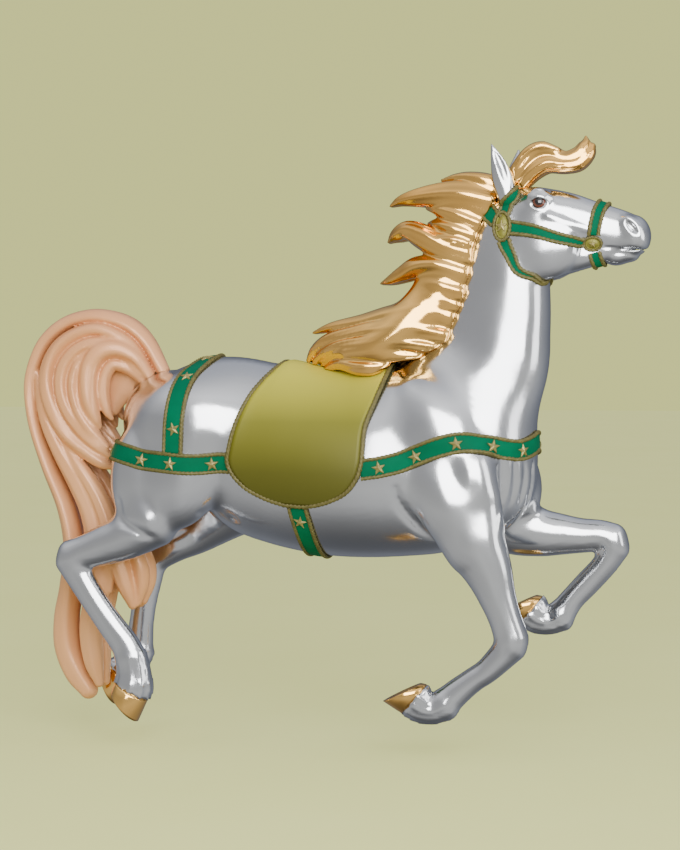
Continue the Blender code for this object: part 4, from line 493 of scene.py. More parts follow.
# Where the mane's roots end on the neck, as height and place along the horse
MANE_ROOTS = metres([
    (436, 80), (468, 117), (478, 177), (516, 245), (569, 262), (620, 286), (656, 292), (695, 304),
    (739, 308), (773, 320), (816, 343), (858, 366), (900, 390), (980, 400),
])
TAIL_LOCKS = [
    [(-462, 0, 440, 14, 24), (-503, 0, 515, 16, 34), (-550, 0, 557, 18, 42), (-612, 0, 575, 18, 46),
     (-664, 0, 571, 18, 48), (-710, 0, 552, 18, 48), (-748, 0, 518, 18, 48), (-772, 0, 474, 18, 48),
     (-787, 0, 416, 18, 48), (-784, 0, 350, 18, 48), (-772, 0, 290, 18, 46), (-744, 0, 209, 19, 46),
     (-706, 0, 112, 20, 44), (-688, 0, 15, 22, 44), (-696, 0, -83, 25, 42), (-708, 0, -156, 27, 40),
     (-707, 0, -226, 28, 38), (-684, 0, -290, 27, 34), (-655, 0, -334, 20, 26)],
    [(-778, -30, 440, 7, 10), (-768, -34, 380, 13, 24), (-750, -36, 316, 18, 28),
     (-718, -38, 248, 21, 30), (-680, -38, 180, 23, 32), (-648, -36, 108, 23, 32),
     (-630, -34, 15, 24, 32), (-632, -32, -83, 26, 30), (-648, -28, -180, 26, 28),
     (-642, -24, -262, 22, 24), (-628, -20, -316, 10, 14)],
    [(-708, -48, 266, 8, 12), (-668, -50, 206, 15, 22), (-628, -48, 140, 19, 26),
     (-604, -44, 70, 21, 28), (-604, -38, -10, 22, 26), (-604, -30, -86, 10, 12)],
    [(-500, -20, 440, 10, 18), (-548, -30, 510, 14, 26), (-614, -36, 545, 15, 30),
     (-670, -40, 538, 16, 32), (-718, -42, 506, 18, 34), (-746, -44, 456, 19, 34),
     (-750, -46, 402, 19, 34), (-732, -48, 342, 19, 32), (-700, -50, 290, 19, 30),
     (-656, -50, 252, 18, 28), (-618, -48, 224, 14, 22), (-592, -44, 212, 6, 9)],
    [(-520, -26, 440, 10, 18), (-575, -40, 502, 15, 24), (-630, -48, 512, 17, 28),
     (-676, -52, 495, 18, 30), (-708, -54, 456, 18, 30), (-716, -56, 406, 17, 30),
     (-702, -58, 354, 17, 28), (-670, -58, 306, 17, 26), (-632, -56, 268, 15, 22), (-600, -50, 240, 6, 9)],
    [(-640, -50, 494, 10, 18), (-674, -58, 462, 13, 24), (-687, -62, 410, 13, 26),
     (-675, -64, 352, 13, 24), (-645, -62, 304, 13, 22), (-606, -56, 262, 6, 9)],
    [(-498, -24, 430, 10, 16), (-534, -40, 478, 14, 22), (-580, -52, 500, 19, 26),
     (-622, -60, 492, 21, 28), (-646, -64, 460, 21, 28), (-653, -66, 418, 20, 28),
     (-649, -66, 370, 18, 26), (-634, -62, 330, 12, 18), (-624, -58, 312, 5, 7)],
    [(-508, -20, 415, 9, 14), (-548, -34, 450, 13, 18), (-588, -42, 462, 14, 20),
     (-610, -46, 436, 14, 20), (-616, -46, 391, 14, 20), (-606, -42, 350, 11, 16), (-594, -38, 330, 5, 7)],
    [(-613, -36, 87, 16, 20), (-585, -40, 2, 22, 26), (-561, -36, -72, 20, 24), (-544, -28, -124, 10, 12)],
    [(-572, -24, 70, 12, 18), (-530, -26, -10, 17, 22), (-520, -24, -64, 16, 20),
     (-530, -20, -118, 8, 10)],
    [(-505, 0, 440, 22, 16), (-550, 0, 440, 40, 20), (-585, 0, 405, 46, 20), (-600, 0, 352, 24, 16)],
]
FORELOCK_LOCKS = [
    [(389, 0, 893, 20, 30), (421, 0, 928, 21, 34), (450, 0, 958, 21, 34), (483, 0, 963, 19, 32),
     (519, 0, 949, 17, 30), (550, 0, 957, 18, 28), (567, 0, 983, 12, 18), (569, 0, 1001, 3, 4)],
    [(421, -12, 897, 17, 20), (446, -16, 920, 17, 22), (479, -18, 937, 17, 22), (519, -16, 933, 15, 20),
     (554, -12, 938, 14, 18), (577, -6, 960, 12, 15), (584, 0, 978, 6, 9)],
    [(382, -14, 895, 8, 12), (405, -22, 929, 10, 14), (433, -26, 965, 10, 14), (467, -26, 979, 10, 14),
     (504, -22, 970, 6, 10)],
]
MIDDLE = (-0.025, 0.318)
SPREAD = 0.046
FAR_SHIFT = metres((2, 0, -1, 0, 0))
FULLER = 1.15
HAIR_GAP = -0.0010
BLANKET_GAP = 0.0100
BLANKET_FRONT = 0.135


def spread_out(rows):
    """The tail's rows, drawn at the scale of the horse's middle, let out with their distance from it."""
    rows = metres(rows)
    reach = MIDDLE[0] - rows[:, 0]
    aside = np.abs(rows[:, 1])
    grow = 1 + SPREAD * reach - 0.2 * aside
    x = MIDDLE[0] - reach * grow + 0.23 * aside
    z = MIDDLE[1] + (rows[:, 2] - MIDDLE[1]) * grow
    return np.column_stack([x, rows[:, 1], z, rows[:, 3:]])


def gathered(rows):
    """A lock's rows, with its tip drawn in to the middle so that both sides end in one point."""
    rows = metres(rows)
    easing = 1 - 0.8 * np.linspace(0, 1, len(rows)) ** 3
    return np.column_stack([rows[:, 0], rows[:, 1] * easing, rows[:, 2:]])


def hair_form(points, locks, far_shift=FAR_SHIFT, blend=0.009, relief=0.045, fewer=0):
    """Locks on the show side, and the same ones a little lower on the far side."""
    field = np.full(len(points), FAR)
    for number, lock in enumerate(locks):
        rows = lock * (1, 1, 1, FULLER, 1)
        strands = (7 - fewer + number % 3 * 2, relief, 0.5 + number % 4 * 0.3)
        add_limb(field, points, rows, blend, steps=8, ridges=strands)
        if rows[:, 1].any():
            add_limb(field, points, rows * (1, -1, 1, 1, 1) + far_shift, blend, steps=8, ridges=strands)
    return field


def above_body(field, points, gap):
    """What of a form stands clear of the body by the gap."""
    inside = field < 0.03
    gap = np.broadcast_to(gap, len(points))[inside]
    field[inside] = np.maximum(field[inside], gap - horse_form(points[inside]))
    return field


def past_roots(points):
    """Distance in side view in front of the line where the mane's roots end, negative behind it."""
    rows = MANE_ROOTS[:, ::-1]
    spots = points[:, [0, 2]]
    nearest = np.full(len(points), 1e9)
    for start, end in zip(rows, rows[1:]):
        run = end - start
        t = np.clip((spots - start) @ run / (run @ run), 0, 1)
        nearest = np.minimum(nearest, ((spots - start - t[:, None] * run) ** 2).sum(1))
    ahead = points[:, 0] > np.interp(points[:, 2], rows[:, 1], rows[:, 0])
    return np.where(ahead, 1, -1) * np.sqrt(nearest)


def mane_form(points):
    over_blanket = np.clip((BLANKET_FRONT - points[:, 0]) / 0.02, 0, 1)
    locks = [gathered(lock) for lock in MANE_LOCKS]
    field = hair_form(points, locks, blend=0.010, relief=0.055, fewer=3)
    field = smooth_union(field, hair_form(points, [MANE_SHEET], relief=0), 0.014)
    field = smooth_cut(field, -past_roots(points), 0.022)
    return above_body(field, points, HAIR_GAP + (BLANKET_GAP - HAIR_GAP) * over_blanket)


def tail_form(points):
    locks = [spread_out(lock) for lock in TAIL_LOCKS]
    return above_body(hair_form(points, locks, relief=0.034, fewer=2), points, HAIR_GAP)


def forelock_form(points):
    locks = [metres(lock) for lock in FORELOCK_LOCKS]
    return above_body(hair_form(points, locks, far_shift=0), points, HAIR_GAP)


# Finer relief of the cast body. The lids, brow and nostril rims are on both sides.

RIMS = [
    (4.0, [(445.5, 65.5, 841), (454, 70, 853.5), (467, 71.7, 858), (479, 69, 853), (488.5, 63.5, 841)]),
    (3.0, [(445.5, 65.5, 841), (454, 67.2, 832.5), (467, 67.7, 829), (480, 66.2, 832.5), (488.5, 63.5, 841)]),
    (4.6, [(442, 58, 862), (452, 61, 871), (467, 62.5, 874.5), (484, 60, 868)]),
    (3.2, [(657, 40, 804), (672, 42.5, 806.5), (690, 44.5, 791), (700, 43, 766)]),
    (2.8, [(660, 43.5, 789), (681, 46.2, 773), (698, 43, 760)]),
]
EAR_HOLLOW = [(394, -73.5, 872), (390, -71.5, 900), (378, -67, 935), (364, -62, 962)]
WRINKLES = [
    [(364, -153, 70), (370, -154, 98), (378, -143, 126)],
    [(380, -153, 68), (386, -150, 98), (392, -136, 128)],
]
FETLOCK_HAIR = (11, 0.055, 0.5)


def beaded(path, radius):
    """A path's rows with one radius all along, thinner towards both ends."""
    swell = 0.5 + 0.5 * np.sin(np.linspace(0, math.pi, len(path)))
    return metres(np.column_stack([path, radius * swell, radius * swell]))


def cast_form(points):
    """The body with its finer relief: lids, brows, nostril rims, the ear's hollow, hair at the fetlocks."""
    field = horse_form(points)
    folded = both_sides(points)
    add_ball(field, folded, (466, 70, 844), (20, 11.5, 13), 0.004, carve=True)
    add_ball(field, folded, (680, 52, 785), (21, 15, 7.5), 0.003, carve=True, lean=47)
    for radius, path in RIMS:
        add_limb(field, folded, beaded(path, radius), 0.004, steps=6)
    add_limb(field, points, beaded(EAR_HOLLOW, 12.5), 0.004, carve=True, steps=6)
    for path in WRINKLES:
        add_limb(field, points, beaded(path, 5.5), 0.006, steps=6)
    for *upper, pastern in LEGS:
        add_limb(field, points, metres(pastern) * (1, 1, 1, 1.07, 1.07), 0.004, ridges=FETLOCK_HAIR)
    return trim_to_coronets(field, points)


# Meshing

BLOCK = 4
BATCH = 60000


def graded(low, high, cell, fine_from, fine_cell):
    """Grid lines from low to high, closer together beyond a place where finer work begins."""
    if fine_from is not None:
        coarse = graded(low, fine_from, cell, None, None)
        return np.concatenate([coarse[:-1], graded(fine_from, high, fine_cell, None, None)])
    count = BLOCK * math.ceil((high - low) / cell / BLOCK)
    return low + np.arange(count + 1) * (high - low) / count


def surface_mesh(form, low, high, cell, fine):
    """A closed quad mesh of the form, sampled on a grid only in the blocks that the surface crosses."""
    axes = [graded(a, b, cell, start, FINE_CELL) for a, b, start in zip(low, high, fine)]
    coarse = np.stack(np.meshgrid(*[a[::BLOCK] for a in axes], indexing="ij"), -1)
    rough = form(coarse.reshape(-1, 3)).reshape(coarse.shape[:3])
    crossed = np.abs(rough) < BLOCK * cell * 1.9
    blocks = np.zeros([n - 1 for n in rough.shape], bool)
    for corner in np.ndindex(2, 2, 2):
        blocks |= crossed[tuple(slice(c, c + n) for c, n in zip(corner, blocks.shape))]
    spread = blocks.repeat(BLOCK, 0).repeat(BLOCK, 1).repeat(BLOCK, 2)
    active = np.zeros([len(a) for a in axes], bool)
    for corner in np.ndindex(2, 2, 2):
        active[tuple(slice(c, c + n) for c, n in zip(corner, spread.shape))] |= spread
    index = [np.minimum((np.arange(len(a)) + BLOCK // 2) // BLOCK, n - 1) for a, n in zip(axes, rough.shape)]
    values = rough[np.ix_(*index)].astype(np.float32)
    i, j, k = np.nonzero(active)
    spots = np.stack([axes[0][i], axes[1][j], axes[2][k]], 1)
    values[i, j, k] = np.concatenate([form(some) for some in np.array_split(spots, len(spots) // BATCH + 1)])
    grid = openvdb.FloatGrid(FAR)
    grid.copyFromArray(values)
    places, quads = grid.convertToQuads(0.0)
    places = np.stack([np.interp(places[:, n], np.arange(len(axes[n])), axes[n]) for n in range(3)], 1)
    mesh = bpy.data.meshes.new("cast")
    mesh.from_pydata(places.tolist(), [], quads.tolist())
    mesh.update()
    return mesh


# Trappings are laid on the body by moving points along its form's gradient

SLOPE_STEP = 0.0015


def gradient(points):
    lifts = np.vstack([np.eye(3), -np.eye(3)]) * SLOPE_STEP
    values = horse_form((points + lifts[:, None, :]).reshape(-1, 3)).reshape(6, -1)
    return ((values[:3] - values[3:]) / (2 * SLOPE_STEP)).T


def settled(points, rounds):
    """The points moved straight on to the body."""
    for _ in range(rounds):
        slope = gradient(points)
        points = points - slope * (horse_form(points) / (slope**2).sum(1))[:, None]
    return points


def raised(points, height):
    """The points laid on the body and then lifted off it by the height."""
    points = settled(points, 3)
    return points + unit(gradient(points)) * np.broadcast_to(height, len(points))[:, None]


def both_ways(path):
    """A path from the right side to the middle, carried on down the left side."""
    right = metres(path)
    return np.vstack([right, right[right[:, 1] < 0][::-1] * (1, -1, 1)])


def extended(rows, length):
    """The path carried on straight by a length at both of its ends."""
    before, after = unit(rows[0] - rows[1]), unit(rows[-1] - rows[-2])
    return np.vstack([rows[0] + before * length, rows, rows[-1] + after * length])


def evenly(line, step, closed=False, least=2):
    """The rows of a line at even steps along it, and how far along each one is, as a share."""
    ring = np.vstack([line, line[:1]]) if closed else line
    length = np.concatenate([[0], np.cumsum(np.linalg.norm(np.diff(ring[:, :3], axis=0), axis=1))])
    count = max(least, round(length[-1] / step))
    stations = np.linspace(0, length[-1], count + 1)[:count + (not closed)]
    return looked_up(stations, length, ring), stations / length[-1], length[-1]


def along_path(path, step):
    """Evenly spaced points on the body under a path, with the side and the outward direction there."""
    places = evenly(settled(spline(path, 12), 5), step)[0]
    normal = unit(gradient(places))
    return places, unit(np.cross(normal, unit(np.gradient(places, axis=0)))), normal


STRAP_WIDTH = 0.052
BRIDLE_WIDTH = 0.033
BREAST_PATH = metres([
    (80, -190, 222), (94, -188, 224), (108, -185, 226), (156, -185, 238), (200, -185, 256),
    (250, -180, 274), (288, -175, 284), (321, -165, 287), (353, -145, 282), (382, -110, 271),
    (410, -70, 265), (434, -35, 275), (448, -5, 284), (456, 40, 276), (440, 90, 270), (400, 130, 280),
    (353, 150, 286), (321, 165, 287), (288, 175, 284), (250, 180, 274), (200, 185, 256),
    (156, 185, 238), (108, 185, 226), (94, 188, 224), (80, 190, 222),
])
HIP_PATH = both_ways([
    (-271, -170, 230), (-284, -172, 230), (-297, -175, 229), (-359, -180, 227), (-409, -185, 231),
    (-477, -170, 238), (-525, -130, 248), (-555, -70, 256), (-560, 0, 258),
])
CROUP_PATH = both_ways([
    (-392, -185, 261), (-391, -180, 285), (-388, -165, 340), (-380, -135, 400), (-364, -85, 455),
    (-350, -35, 482), (-346, 0, 487),
])
GIRTH_PATH = both_ways([
    (-89, -176, 118), (-87, -170, 106), (-82, -155, 80), (-77, -120, 45), (-74, -70, 16), (-73, 0, 6),
])
THROAT_PATH = both_ways([
    (385, -66, 756), (390, -66, 742), (401, -66, 720), (411, -60, 694), (420, -45, 679),
    (424, -20, 671), (425, 0, 669),
])
NOSE_PATH = both_ways([
    (592, -44, 767), (594, -44, 785), (602, -36, 822), (610, -18, 839), (612, 0, 842),
])
CHIN_PATH = both_ways([
    (594, -40, 727), (597, -30, 712), (602, -12, 701), (603, 0, 700),
])
CHEEK_PATH = metres([
    (402, -66, 786), (440, -68, 780), (469, -68, 773), (516, -60, 758), (550, -52, 751),
    (568, -48, 749),
])
BROW_PATH = metres([
    (383, -62, 823), (390, -60, 843), (398, -55, 858), (408, -43, 871),
])
CROWN_PATH = metres([
    (362, -61, 805), (355, -58, 812), (348, -55, 820), (341, -51, 828),
])
# The blanket's back and front edge at each angle round the barrel, up from the horizontal
BLANKET_EDGES = np.array([
    (-26, -118, -70), (-24, -150, -36), (-21, -180, -6), (-15.5, -214, 30), (-6, -243, 55),
    (4, -257, 65), (12, -256, 67), (32, -241, 70), (52, -212, 88), (73, -170, 104), (90, -150, 110),
]) / (1, 1000, 1000)
BLANKET_CENTRE_HEIGHT = 0.22
BLANKET_THICK = 0.0092
BLANKET_UNDER = 0.0004
BARREL_RADIUS = 0.20
BLANKET_REACH = 116


def round_barrel(x, angle, height):
    """The point at a height above the body, at a place along it and an angle round it."""
    angle = np.radians(angle)
    outward = np.stack([0 * angle, -np.cos(angle), np.sin(angle)], 1)
    places = np.stack([x, 0 * x, 0 * x + BLANKET_CENTRE_HEIGHT], 1) + outward * 0.34
    for _ in range(18):
        places = places - outward * np.minimum(horse_form(places), 0.05)[:, None] * 0.8
    return places + unit(gradient(places)) * height


def blanket_edges(rows):
    """Angles round the barrel, with the back and front edge at each, the same on both sides."""
    spread = np.linspace(-1, 1, rows + 1)
    angles = 90 + BLANKET_REACH * np.sign(spread) * np.abs(spread) ** 0.85
    table = spline(BLANKET_EDGES, 8)
    back, front = looked_up(np.where(angles > 90, 180 - angles, angles), table[:, 0], table[:, 1:]).T
    return angles, back, front


def blanket_mesh(rows=96, columns=28):
    """The blanket as a thick sheet, from its two faces and the rim between them."""
    angles, back, front = blanket_edges(rows)
    across = np.concatenate([back + (front - back) * j / columns for j in range(columns + 1)])
    around = np.tile(angles, columns + 1)
    mesh = bmesh.new()
    top, under = (
        [[mesh.verts.new(place) for place in row]
         for row in round_barrel(across, around, height).reshape(columns + 1, rows + 1, 3)]
        for height in (BLANKET_THICK, BLANKET_UNDER)
    )
    for sheet in (top, under):
        for j in range(columns):
            for i in range(rows):
                mesh.faces.new((sheet[j][i], sheet[j + 1][i], sheet[j + 1][i + 1], sheet[j][i + 1]))
    rim = [(j, 0) for j in range(columns)] + [(columns, i) for i in range(rows)]
    rim += [(columns - j, rows - i) for j, i in rim]
    for (j, i), (m, n) in zip(rim, rim[1:] + rim[:1]):
        mesh.faces.new((top[j][i], under[j][i], under[m][n], top[m][n]))
    return mesh


def blanket_rim(height, outside, rows=110):
    """Points round the blanket's edge at a height above the body, as one closed path."""
    angles, back, front = blanket_edges(rows)
    turn = np.radians(np.concatenate([angles, angles[::-1]])) * BARREL_RADIUS
    ring = np.stack([np.concatenate([back, front[::-1]]), turn], 1)
    along = unit(np.roll(ring, -1, 0) - np.roll(ring, 1, 0))
    ring = ring + along[:, ::-1] * (-1, 1) * outside
    return round_barrel(ring[:, 0], np.degrees(ring[:, 1] / BARREL_RADIUS), height)


# Materials

def lit_material(name, colour, metallic, roughness, specular=0.5):
    material = bpy.data.materials.new(name)
    material.use_nodes = True
    shader = material.node_tree.nodes["Principled BSDF"]
    shader.inputs["Base Color"].default_value = (*colour, 1)
    shader.inputs["Metallic"].default_value = metallic
    shader.inputs["Roughness"].default_value = roughness
    shader.inputs["Specular IOR Level"].default_value = specular
    return material, shader


def add_node(tree, kind, inputs, **settings):
    """Adds a node. Each input gets a value, or is linked where an output is given."""
    made = tree.nodes.new("ShaderNode" + kind)
    for name, value in settings.items():
        setattr(made, name, value)
    for name, value in inputs.items():
        if isinstance(value, bpy.types.NodeSocket):
            tree.links.new(value, made.inputs[name])
        else:
            made.inputs[name].default_value = value
    return made


def ramp_of(tree, place, stops):
    """A colour ramp along a value, given as positions with their colours or levels."""
    ramp = add_node(tree, "ValToRGB", {"Fac": place})
    elements = ramp.color_ramp.elements
    while len(elements) < len(stops):
        elements.new(0.5)
    for element, (position, colour) in zip(elements, stops):
        element.position = position
        element.color = (*colour, 1) if hasattr(colour, "__len__") else (colour, colour, colour, 1)
    return ramp.outputs["Color"]


def own_place(tree):
    return add_node(tree, "TexCoord", {}).outputs["Object"]


def noise(tree, scale, detail, stretch=(1, 1, 1)):
    """Soft noise in the object's own space."""
    mapping = add_node(tree, "Mapping", {"Vector": own_place(tree), "Scale": stretch})
    inputs = {"Vector": mapping.outputs["Vector"], "Scale": scale, "Detail": detail}
    return add_node(tree, "TexNoise", inputs).outputs["Fac"]


def varied(shader, socket, scale, low, high, stretch=(1, 1, 1)):
    """Drives a shader socket with noise between two values."""
    tree = shader.id_data
    stops = [(0.32, low), (0.70, high)]
    tree.links.new(ramp_of(tree, noise(tree, scale, 3.0, stretch), stops), shader.inputs[socket])


def bumped(shader, scale, strength, distance):
    tree = shader.id_data
    inputs = {"Height": noise(tree, scale, 2.0), "Strength": strength, "Distance": distance}
    tree.links.new(add_node(tree, "Bump", inputs).outputs["Normal"], shader.inputs["Normal"])


def graded_colour(shader, value, low, high, stops):
    """Colours the surface by a value, between a low and a high one."""
    tree = shader.id_data
    span = add_node(tree, "MapRange", {"Value": value, "From Min": low, "From Max": high})
    tree.links.new(ramp_of(tree, span.outputs["Result"], stops), shader.inputs["Base Color"])


EYE_PLACE = (0.466, -0.0555, 0.844)
EYE_RADIUS = 0.0172
PUPIL = (0.467, 0.8470)
IRIS_REACH = 0.017
BACKDROP = (0.80, 0.83, 0.30)


def chrome():
    material, shader = lit_material("polished_chrome", (0.64, 0.65, 0.665), 1.0, 0.17)
    varied(shader, "Roughness", 9.0, 0.13, 0.21)
    varied(shader, "Base Color", 3.0, (0.61, 0.62, 0.64), (0.67, 0.68, 0.69))
    bumped(shader, 70.0, 0.05, 0.002)
    return material


def gold():
    material, shader = lit_material("polished_gold", (0.94, 0.55, 0.17), 1.0, 0.11)
    varied(shader, "Roughness", 12.0, 0.08, 0.14)
    varied(shader, "Base Color", 5.0, (0.88, 0.47, 0.115), (0.95, 0.58, 0.17))
    return material


def peach():
    material, shader = lit_material("satin_peach", (0.70, 0.34, 0.16), 0.15, 0.34)
    varied(shader, "Base Color", 6.0, (0.60, 0.27, 0.12), (0.68, 0.34, 0.165), stretch=(1, 1, 0.4))
    varied(shader, "Roughness", 14.0, 0.30, 0.40)
    return material


def olive():
    """The blanket, with painted shade: its colour is lightest at the top, where the light falls, and darkens
    towards its hem.
    """
    material, shader = lit_material("blanket_olive_painted_shade", (0.25, 0.235, 0.04), 0.15, 0.45, specular=0.25)
    tree = shader.id_data
    height = add_node(tree, "SeparateXYZ", {"Vector": own_place(tree)}).outputs["Z"]
    # Painted light and shade: the colour is graded by height, lighter high on the blanket and darker towards
    # the hem.
    graded_colour(shader, height, 0.10, 0.47, [
        (0.0, (0.050, 0.048, 0.006)), (0.30, (0.072, 0.069, 0.008)), (0.62, (0.145, 0.138, 0.014)),
        (1.0, (0.480, 0.440, 0.045)),
    ])
    bumped(shader, 900.0, 0.12, 0.0006)
    return material


def khaki_rope():
    material, shader = lit_material("khaki_rope", (0.095, 0.082, 0.026), 0.2, 0.5, specular=0.3)
    varied(shader, "Base Color", 120.0, (0.078, 0.067, 0.020), (0.125, 0.107, 0.036))
    bumped(shader, 1500.0, 0.2, 0.0004)
    return material


def green():
    material, shader = lit_material("green_satin", (0.0, 0.085, 0.042), 0.0, 0.5, specular=0.04)
    varied(shader, "Base Color", 14.0, (0.0, 0.075, 0.037), (0.0, 0.100, 0.051))
    bumped(shader, 1400.0, 0.08, 0.0004)
    return material


def khaki_gold():
    material, shader = lit_material("khaki_gold", (0.24, 0.20, 0.07), 0.5, 0.36)
    varied(shader, "Base Color", 90.0, (0.20, 0.165, 0.055), (0.30, 0.25, 0.09))
    return material


def olive_gold():
    material, shader = lit_material("olive_gold", (0.16, 0.15, 0.02), 0.4, 0.45)
    varied(shader, "Base Color", 80.0, (0.135, 0.125, 0.015), (0.19, 0.175, 0.025))
    return material


def eye_brown():
    """The eye, in rings round the pupil as seen from the side."""
    material, shader = lit_material("eye_brown", (0.05, 0.02, 0.015), 0.0, 0.05)
    shader.inputs["Coat Weight"].default_value = 1.0
    shader.inputs["Coat Roughness"].default_value = 0.02
    tree = shader.id_data
    flat = add_node(tree, "VectorMath", {0: own_place(tree), 1: (1, 0, 1)}, operation="MULTIPLY")
    inputs = {0: flat.outputs["Vector"], 1: (PUPIL[0], 0, PUPIL[1])}
    away = add_node(tree, "VectorMath", inputs, operation="DISTANCE").outputs["Value"]
    graded_colour(shader, away, 0.0, IRIS_REACH, [
        (0.0, (0.003, 0.002, 0.002)), (0.52, (0.004, 0.002, 0.002)), (0.58, (0.06, 0.014, 0.007)),
        (0.78, (0.13, 0.032, 0.014)), (0.88, (0.02, 0.007, 0.006)), (1.0, (0.01, 0.006, 0.006)),
    ])
    return material


def khaki_floor():
    material, shader = lit_material("khaki_floor", (0.31, 0.32, 0.12), 0.0, 0.7)
    varied(shader, "Base Color", 1.5, (0.30, 0.31, 0.11), (0.32, 0.33, 0.13))
    shader.inputs["Emission Color"].default_value = (*BACKDROP, 1)
    shader.inputs["Emission Strength"].default_value = 0.70
    return material


MATERIALS = {
    "chrome": chrome(), "gold": gold(), "tail": peach(), "blanket": olive(), "rope": khaki_rope(),
    "strap": green(), "star": khaki_gold(), "rosette": olive_gold(), "eye": eye_brown(),
    "floor": khaki_floor(),
}


def piece(name, shape, slot, node):
    """Adds a mesh or a bmesh as a piece of the scene that stands for a CAD node."""
    mesh = shape if isinstance(shape, bpy.types.Mesh) else finished(name, shape)
    mesh.materials.append(MATERIALS[slot])
    mesh.shade_smooth()
    thing = linked(name, mesh)
    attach(thing, "root")
    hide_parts(node)


# Floor and world

FLOOR_HEIGHT = -0.47
FLOOR_REACH = 30.0


def make_floor():
    mesh = bmesh.new()
    place = Matrix.Translation((0, 0, FLOOR_HEIGHT))
    bmesh.ops.create_grid(mesh, x_segments=1, y_segments=1, size=FLOOR_REACH, matrix=place)
    data = finished("floor", mesh)
    data.materials.append(MATERIALS["floor"])
    floor = linked("floor", data)
    floor.visible_glossy = False


def make_world():
    """A studio that polished metal mirrors: bright above, grey in front and dark behind the horse."""
    world = bpy.data.worlds.new("studio")
    bpy.context.scene.world = world
    world.use_nodes = True
    tree = world.node_tree
    place = add_node(tree, "TexCoord", {}).outputs["Generated"]
    split = add_node(tree, "SeparateXYZ", {"Vector": place})

    def walls(axis, stops):
        """Light by a direction's part along an axis, from -1 to 1."""
        inputs = {0: split.outputs[axis], 1: 0.5, 2: 0.5}
        share = add_node(tree, "Math", inputs, operation="MULTIPLY_ADD").outputs["Value"]
        return ramp_of(tree, share, stops)

    def multiplied(one, two):
        inputs = {"Factor": 1.0, "A": one, "B": two}
        return add_node(tree, "Mix", inputs, data_type="RGBA", blend_type="MULTIPLY").outputs["Result"]

    heights = walls("Z", [
        (0.000, 0.18), (0.075, 0.30), (0.200, (0.66, 0.66, 0.65)), (0.350, (0.76, 0.76, 0.74)),
        (0.500, (0.62, 0.62, 0.61)), (0.650, (0.58, 0.58, 0.59)), (0.780, (0.90, 0.90, 0.91)),
        (0.900, (1.45, 1.45, 1.46)), (1.000, (1.05, 1.05, 1.07)),
    ])
    sides = walls("Y", [
        (0, 1.0), (0.35, (0.97, 0.97, 0.98)), (0.62, (0.66, 0.68, 0.74)), (1, (0.24, 0.26, 0.33)),
    ])
    ends = walls("X", [(0, 0.78), (0.38, 0.82), (0.56, 1.0), (1, 1.0)])
    seen = {
        "Factor": add_node(tree, "LightPath", {}).outputs["Is Camera Ray"],
        "A": multiplied(heights, multiplied(sides, ends)),
        "B": (*BACKDROP, 1),
    }
    colour = add_node(tree, "Mix", seen, data_type="RGBA").outputs["Result"]
    tree.links.new(colour, tree.nodes["Background"].inputs["Color"])


make_floor()
make_world()
soft_light("key", (1.4, -3.5, 1.75), (3.4, 2.6), 270)
soft_light("front", (3.4, -0.9, 1.2), (1.2, 2.4), 30)
soft_light("fill", (-3.0, -3.0, 2.0), (1.6, 1.2), 36).visible_glossy = False

# The cast body and the hair: form, lowest and highest corner, grid cell and where finer work begins

FINE_CELL = 0.0042
EVEN = (None, None, None)
CASTINGS = {
    "horse_body": (
        "chrome", cast_form, (-0.76, -0.24, -0.42), (0.76, 0.24, 1.02), 0.0072, (0.34, None, 0.64),
    ),
    "mane": ("gold", mane_form, (-0.14, -0.12, 0.41), (0.44, 0.12, 0.96), 0.0038, EVEN),
    "tail": ("tail", tail_form, (-0.87, -0.12, -0.41), (-0.42, 0.12, 0.64), 0.0042, EVEN),
    "forelock": ("gold", forelock_form, (0.36, -0.06, 0.86), (0.64, 0.06, 1.05), 0.0032, EVEN),
}
for name, (slot, *shape) in CASTINGS.items():
    piece(name + "_cast", surface_mesh(*shape), slot, name)


# Ropes and bands

ROPE_WIDTH = 0.0102
ROPE_PITCH = 0.030
ROPE_STRANDS = 3
ROPE_SIDES = 10
BAND_CROWN = 0.0010
BAND_HEIGHT = 0.0048
BRIDLE_HEIGHT = 0.0042
BAND_UNDER = 0.0005
# A band's width at its start, middle and end, as shares of the full width
EVEN_WIDTH = (1.0, 1.0, 1.0)
CHEEK_WIDTH = (1.18, 0.98, 0.78)
LATCH_WIDTH = (1.10, 0.32, 1.10)
CROWN_WIDTH = (1.20, 1.30, 1.40)


def add_rope(mesh, line, outward, radius, closed=False, step=0.0016):
    """Twists a rope of three strands along a line and adds it to the bmesh."""
    dense, share, length = evenly(np.hstack([line, outward]), step, closed, least=4)
    middle, up = dense[:, :3], dense[:, 3:]
    if closed:
        tangent = unit(np.roll(middle, -1, 0) - np.roll(middle, 1, 0))
    else:
        tangent = unit(np.gradient(middle, axis=0))
    side = unit(np.cross(tangent, up))
    up = np.cross(side, tangent)
    twist = 2 * math.pi * max(1, round(length / ROPE_PITCH)) * share
    columns = []
    for angle in np.arange(ROPE_SIDES) * 2 * math.pi / ROPE_SIDES:
        lobe = np.abs(np.cos(ROPE_STRANDS / 2 * (angle - twist)))
        reach = (radius * (0.50 + 0.50 * lobe**0.6))[:, None]
        columns.append(middle + reach * (math.cos(angle) * side + math.sin(angle) * up))
    loft(mesh, np.stack(columns, 1), closed)


